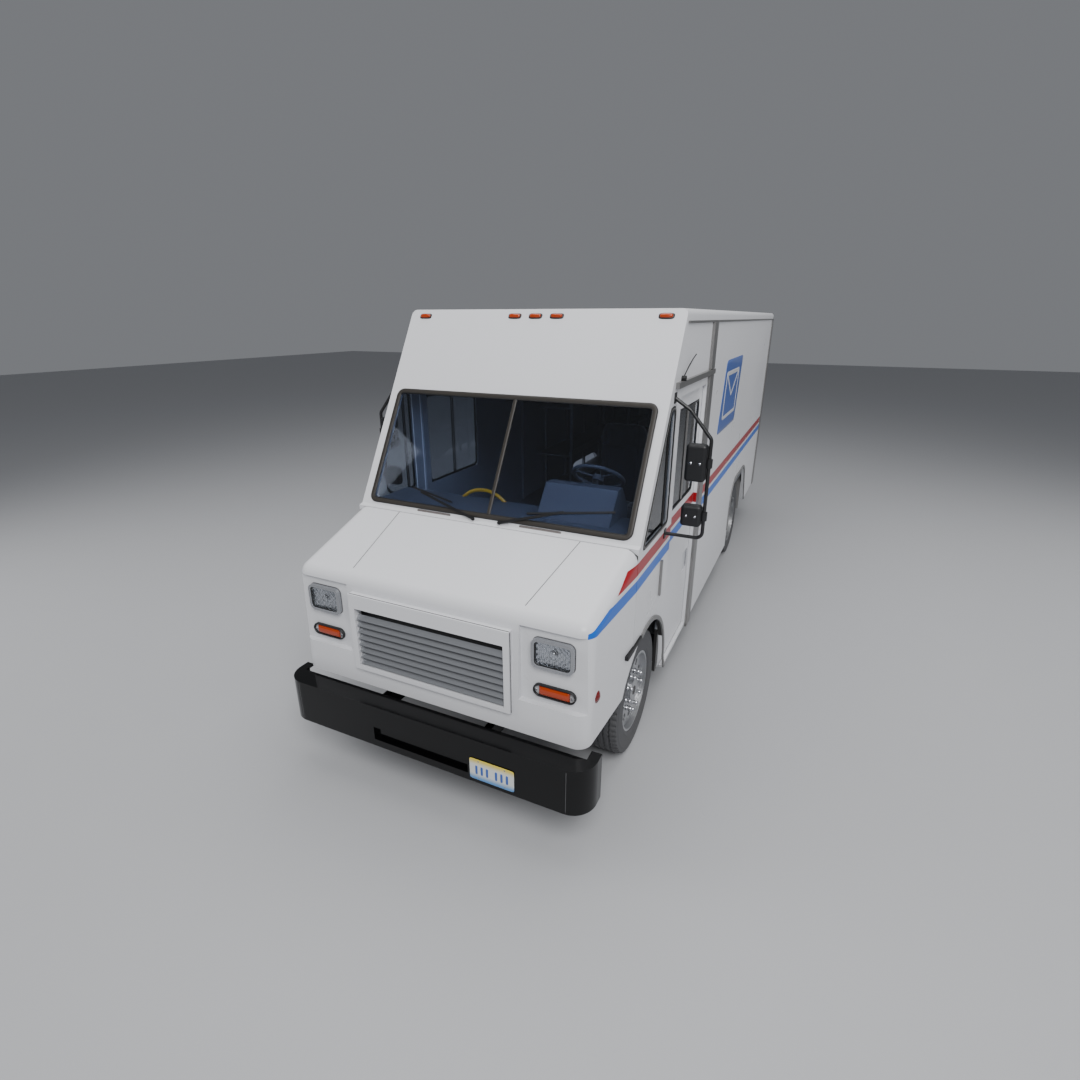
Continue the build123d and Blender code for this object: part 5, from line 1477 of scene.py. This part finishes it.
class MAILTRUCK_OT_seams(bpy.types.Operator):
    """Lays the shut lines on the hood, a painted shadow in the gap behind the hood and the joints of the
    bumper
    """

    bl_idname = "mailtruck.seams"
    bl_label = "Seams"

    def execute(self, context):
        shell_low, shell_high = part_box("hood_shell")
        front, rear = shell_low.y, shell_high.y
        t = np.linspace(0, 1, 40)
        lines = []
        for sign in (-1, 1):
            x = sign * (0.63 + 0.085 * t)
            y = front + 0.11 + (rear - front - 0.112) * t
            z = 1.480 + (y - (front + 0.032)) * (1.711 - 1.480) / 0.736 + 0.0006
            lines.append(np.stack([x, y, z], -1))
        for number, path in enumerate(lines):
            dress(tube(f"hood_seam_{number}", path, 0.0022, 6), "hood", "seam")
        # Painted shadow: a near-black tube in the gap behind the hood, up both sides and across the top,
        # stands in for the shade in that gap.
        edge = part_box("side_panel_left")[1].x - 0.006
        gap = rear + 0.004
        climb = np.linspace(shell_low.z + 0.30, shell_high.z - 0.04, 24)
        run = np.linspace(edge - 0.05, -edge + 0.05, 40)
        seal = np.concatenate([
            np.stack([np.full_like(climb, edge), np.full_like(climb, gap), climb], -1),
            np.stack([run, np.full_like(run, gap), np.full_like(run, shell_high.z - 0.008)], -1),
            np.stack([np.full_like(climb, -edge), np.full_like(climb, gap), climb[::-1]], -1),
        ])
        dress(tube("hood_seal", seal, 0.0034, 8), "truck_body", "bead")
        low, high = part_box("front_bumper")
        for number, x in enumerate((-1.005, 1.005)):
            t = np.linspace(low.z + 0.012, high.z - 0.012, 12)
            weld = np.stack([np.full_like(t, x), np.full_like(t, low.y + 0.0006), t], -1)
            dress(tube(f"bumper_weld_{number}", weld, 0.0018, 6), "truck_body", "seam")
        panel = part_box("grille_louvres")
        u = rounded_outline(panel[1].x + 0.0015, panel[0].z, panel[1].z, 0.01, 0.0)
        outline = np.stack([u[:, 0], np.full(len(u), panel[0].y + 0.012), u[:, 1]], -1)
        dress(tube("grille_outline", outline, 0.003, 6, closed=True), "hood", "seam")
        return {"FINISHED"}


class MAILTRUCK_OT_stage(bpy.types.Operator):
    """Sets the floor, the studio lights and the camera"""

    bl_idname = "mailtruck.stage"
    bl_label = "Stage"

    def execute(self, context):
        scene = context.scene
        u, v = grid(3, 3)
        floor = sheet_mesh("studio_floor", np.stack([u * 40, v * 40, np.zeros_like(u)], -1), smooth=False)
        material = finish_material("floor_paper", (0.44, 0.445, 0.46), 0.7, drift=0.02)
        floor.data.materials.append(material)
        world = bpy.data.worlds.new("studio")
        scene.world = world
        world.use_nodes = True
        sky = world.node_tree.nodes["Background"]
        sky.inputs["Color"].default_value = (0.86, 0.89, 0.95, 1)
        sky.inputs["Strength"].default_value = 0.22
        for name, place, size, power, aim in (
            ("key", (4.5, -9.0, 8.5), 5.0, 900, (0, -1.5, 1.5)),
            ("fill", (-8.0, -6.0, 5.0), 5.0, 330, (0, -1.5, 1.5)),
            ("top", (0.0, 0.0, 9.5), 8.0, 520, (0, 0, 0)),
            ("side", (9.0, 2.0, 5.0), 5.0, 260, (0, 0, 1.5)),
        ):
            lamp = bpy.data.lights.new(name, "AREA")
            lamp.size = size
            lamp.energy = power
            thing = bpy.data.objects.new(name, lamp)
            thing.location = place
            thing.visible_glossy = name in ("key", "top")
            away = np.array(place) - np.array(aim)
            thing.rotation_euler = (
                math.atan2(math.hypot(away[0], away[1]), away[2]), 0, math.atan2(away[0], -away[1])
            )
            scene.collection.objects.link(thing)
        lens = bpy.data.cameras.new("camera")
        lens.lens = 19.742
        lens.sensor_width = 36
        lens.clip_end = 200
        camera = bpy.data.objects.new("camera", lens)
        camera.location = (2.003, -6.2655, 3.0385)
        camera.rotation_euler = (math.radians(90 - 20.615), 0, math.radians(25.455))
        scene.collection.objects.link(camera)
        scene.camera = camera
        return {"FINISHED"}


class MAILTRUCK_PT_pieces(bpy.types.Panel):
    """Lists the truck's pieces and its sizes"""

    bl_idname = "MAILTRUCK_PT_pieces"
    bl_label = "Mail truck"
    bl_space_type = "VIEW_3D"
    bl_region_type = "UI"
    bl_category = "Mail truck"

    def draw(self, context):
        for operator in OPERATORS:
            self.layout.operator(operator.bl_idname)
        for group in GROUP_NAMES:
            settings = getattr(context.scene, group)
            for name in settings.__annotations__:
                self.layout.prop(settings, name)


OPERATORS = (
    MAILTRUCK_OT_stage,
    MAILTRUCK_OT_paint,
    MAILTRUCK_OT_tyres,
    MAILTRUCK_OT_hubs,
    MAILTRUCK_OT_headlights,
    MAILTRUCK_OT_signals,
    MAILTRUCK_OT_markers,
    MAILTRUCK_OT_screen,
    MAILTRUCK_OT_windshield,
    MAILTRUCK_OT_vent_windows,
    MAILTRUCK_OT_seals,
    MAILTRUCK_OT_handles,
    MAILTRUCK_OT_emblem,
    MAILTRUCK_OT_rivets,
    MAILTRUCK_OT_antenna,
    MAILTRUCK_OT_mirrors,
    MAILTRUCK_OT_seat,
    MAILTRUCK_OT_instruments,
    MAILTRUCK_OT_plate,
    MAILTRUCK_OT_seams,
)
SETTINGS = (BodySizes, LampSizes, WheelSizes, Colours)
GROUP_NAMES = ("truck_body", "truck_lamps", "truck_wheels", "truck_colours")


def register():
    for cls in (*SETTINGS, *OPERATORS, MAILTRUCK_PT_pieces):
        bpy.utils.register_class(cls)
    for name, cls in zip(GROUP_NAMES, SETTINGS):
        setattr(bpy.types.Scene, name, PointerProperty(type=cls))


def unregister():
    for name in GROUP_NAMES:
        delattr(bpy.types.Scene, name)
    for cls in reversed((*SETTINGS, *OPERATORS, MAILTRUCK_PT_pieces)):
        bpy.utils.unregister_class(cls)


def main():
    register()
    for operator in OPERATORS:
        group, name = operator.bl_idname.split(".")
        getattr(getattr(bpy.ops, group), name)()


if __name__ == "__main__":
    main()
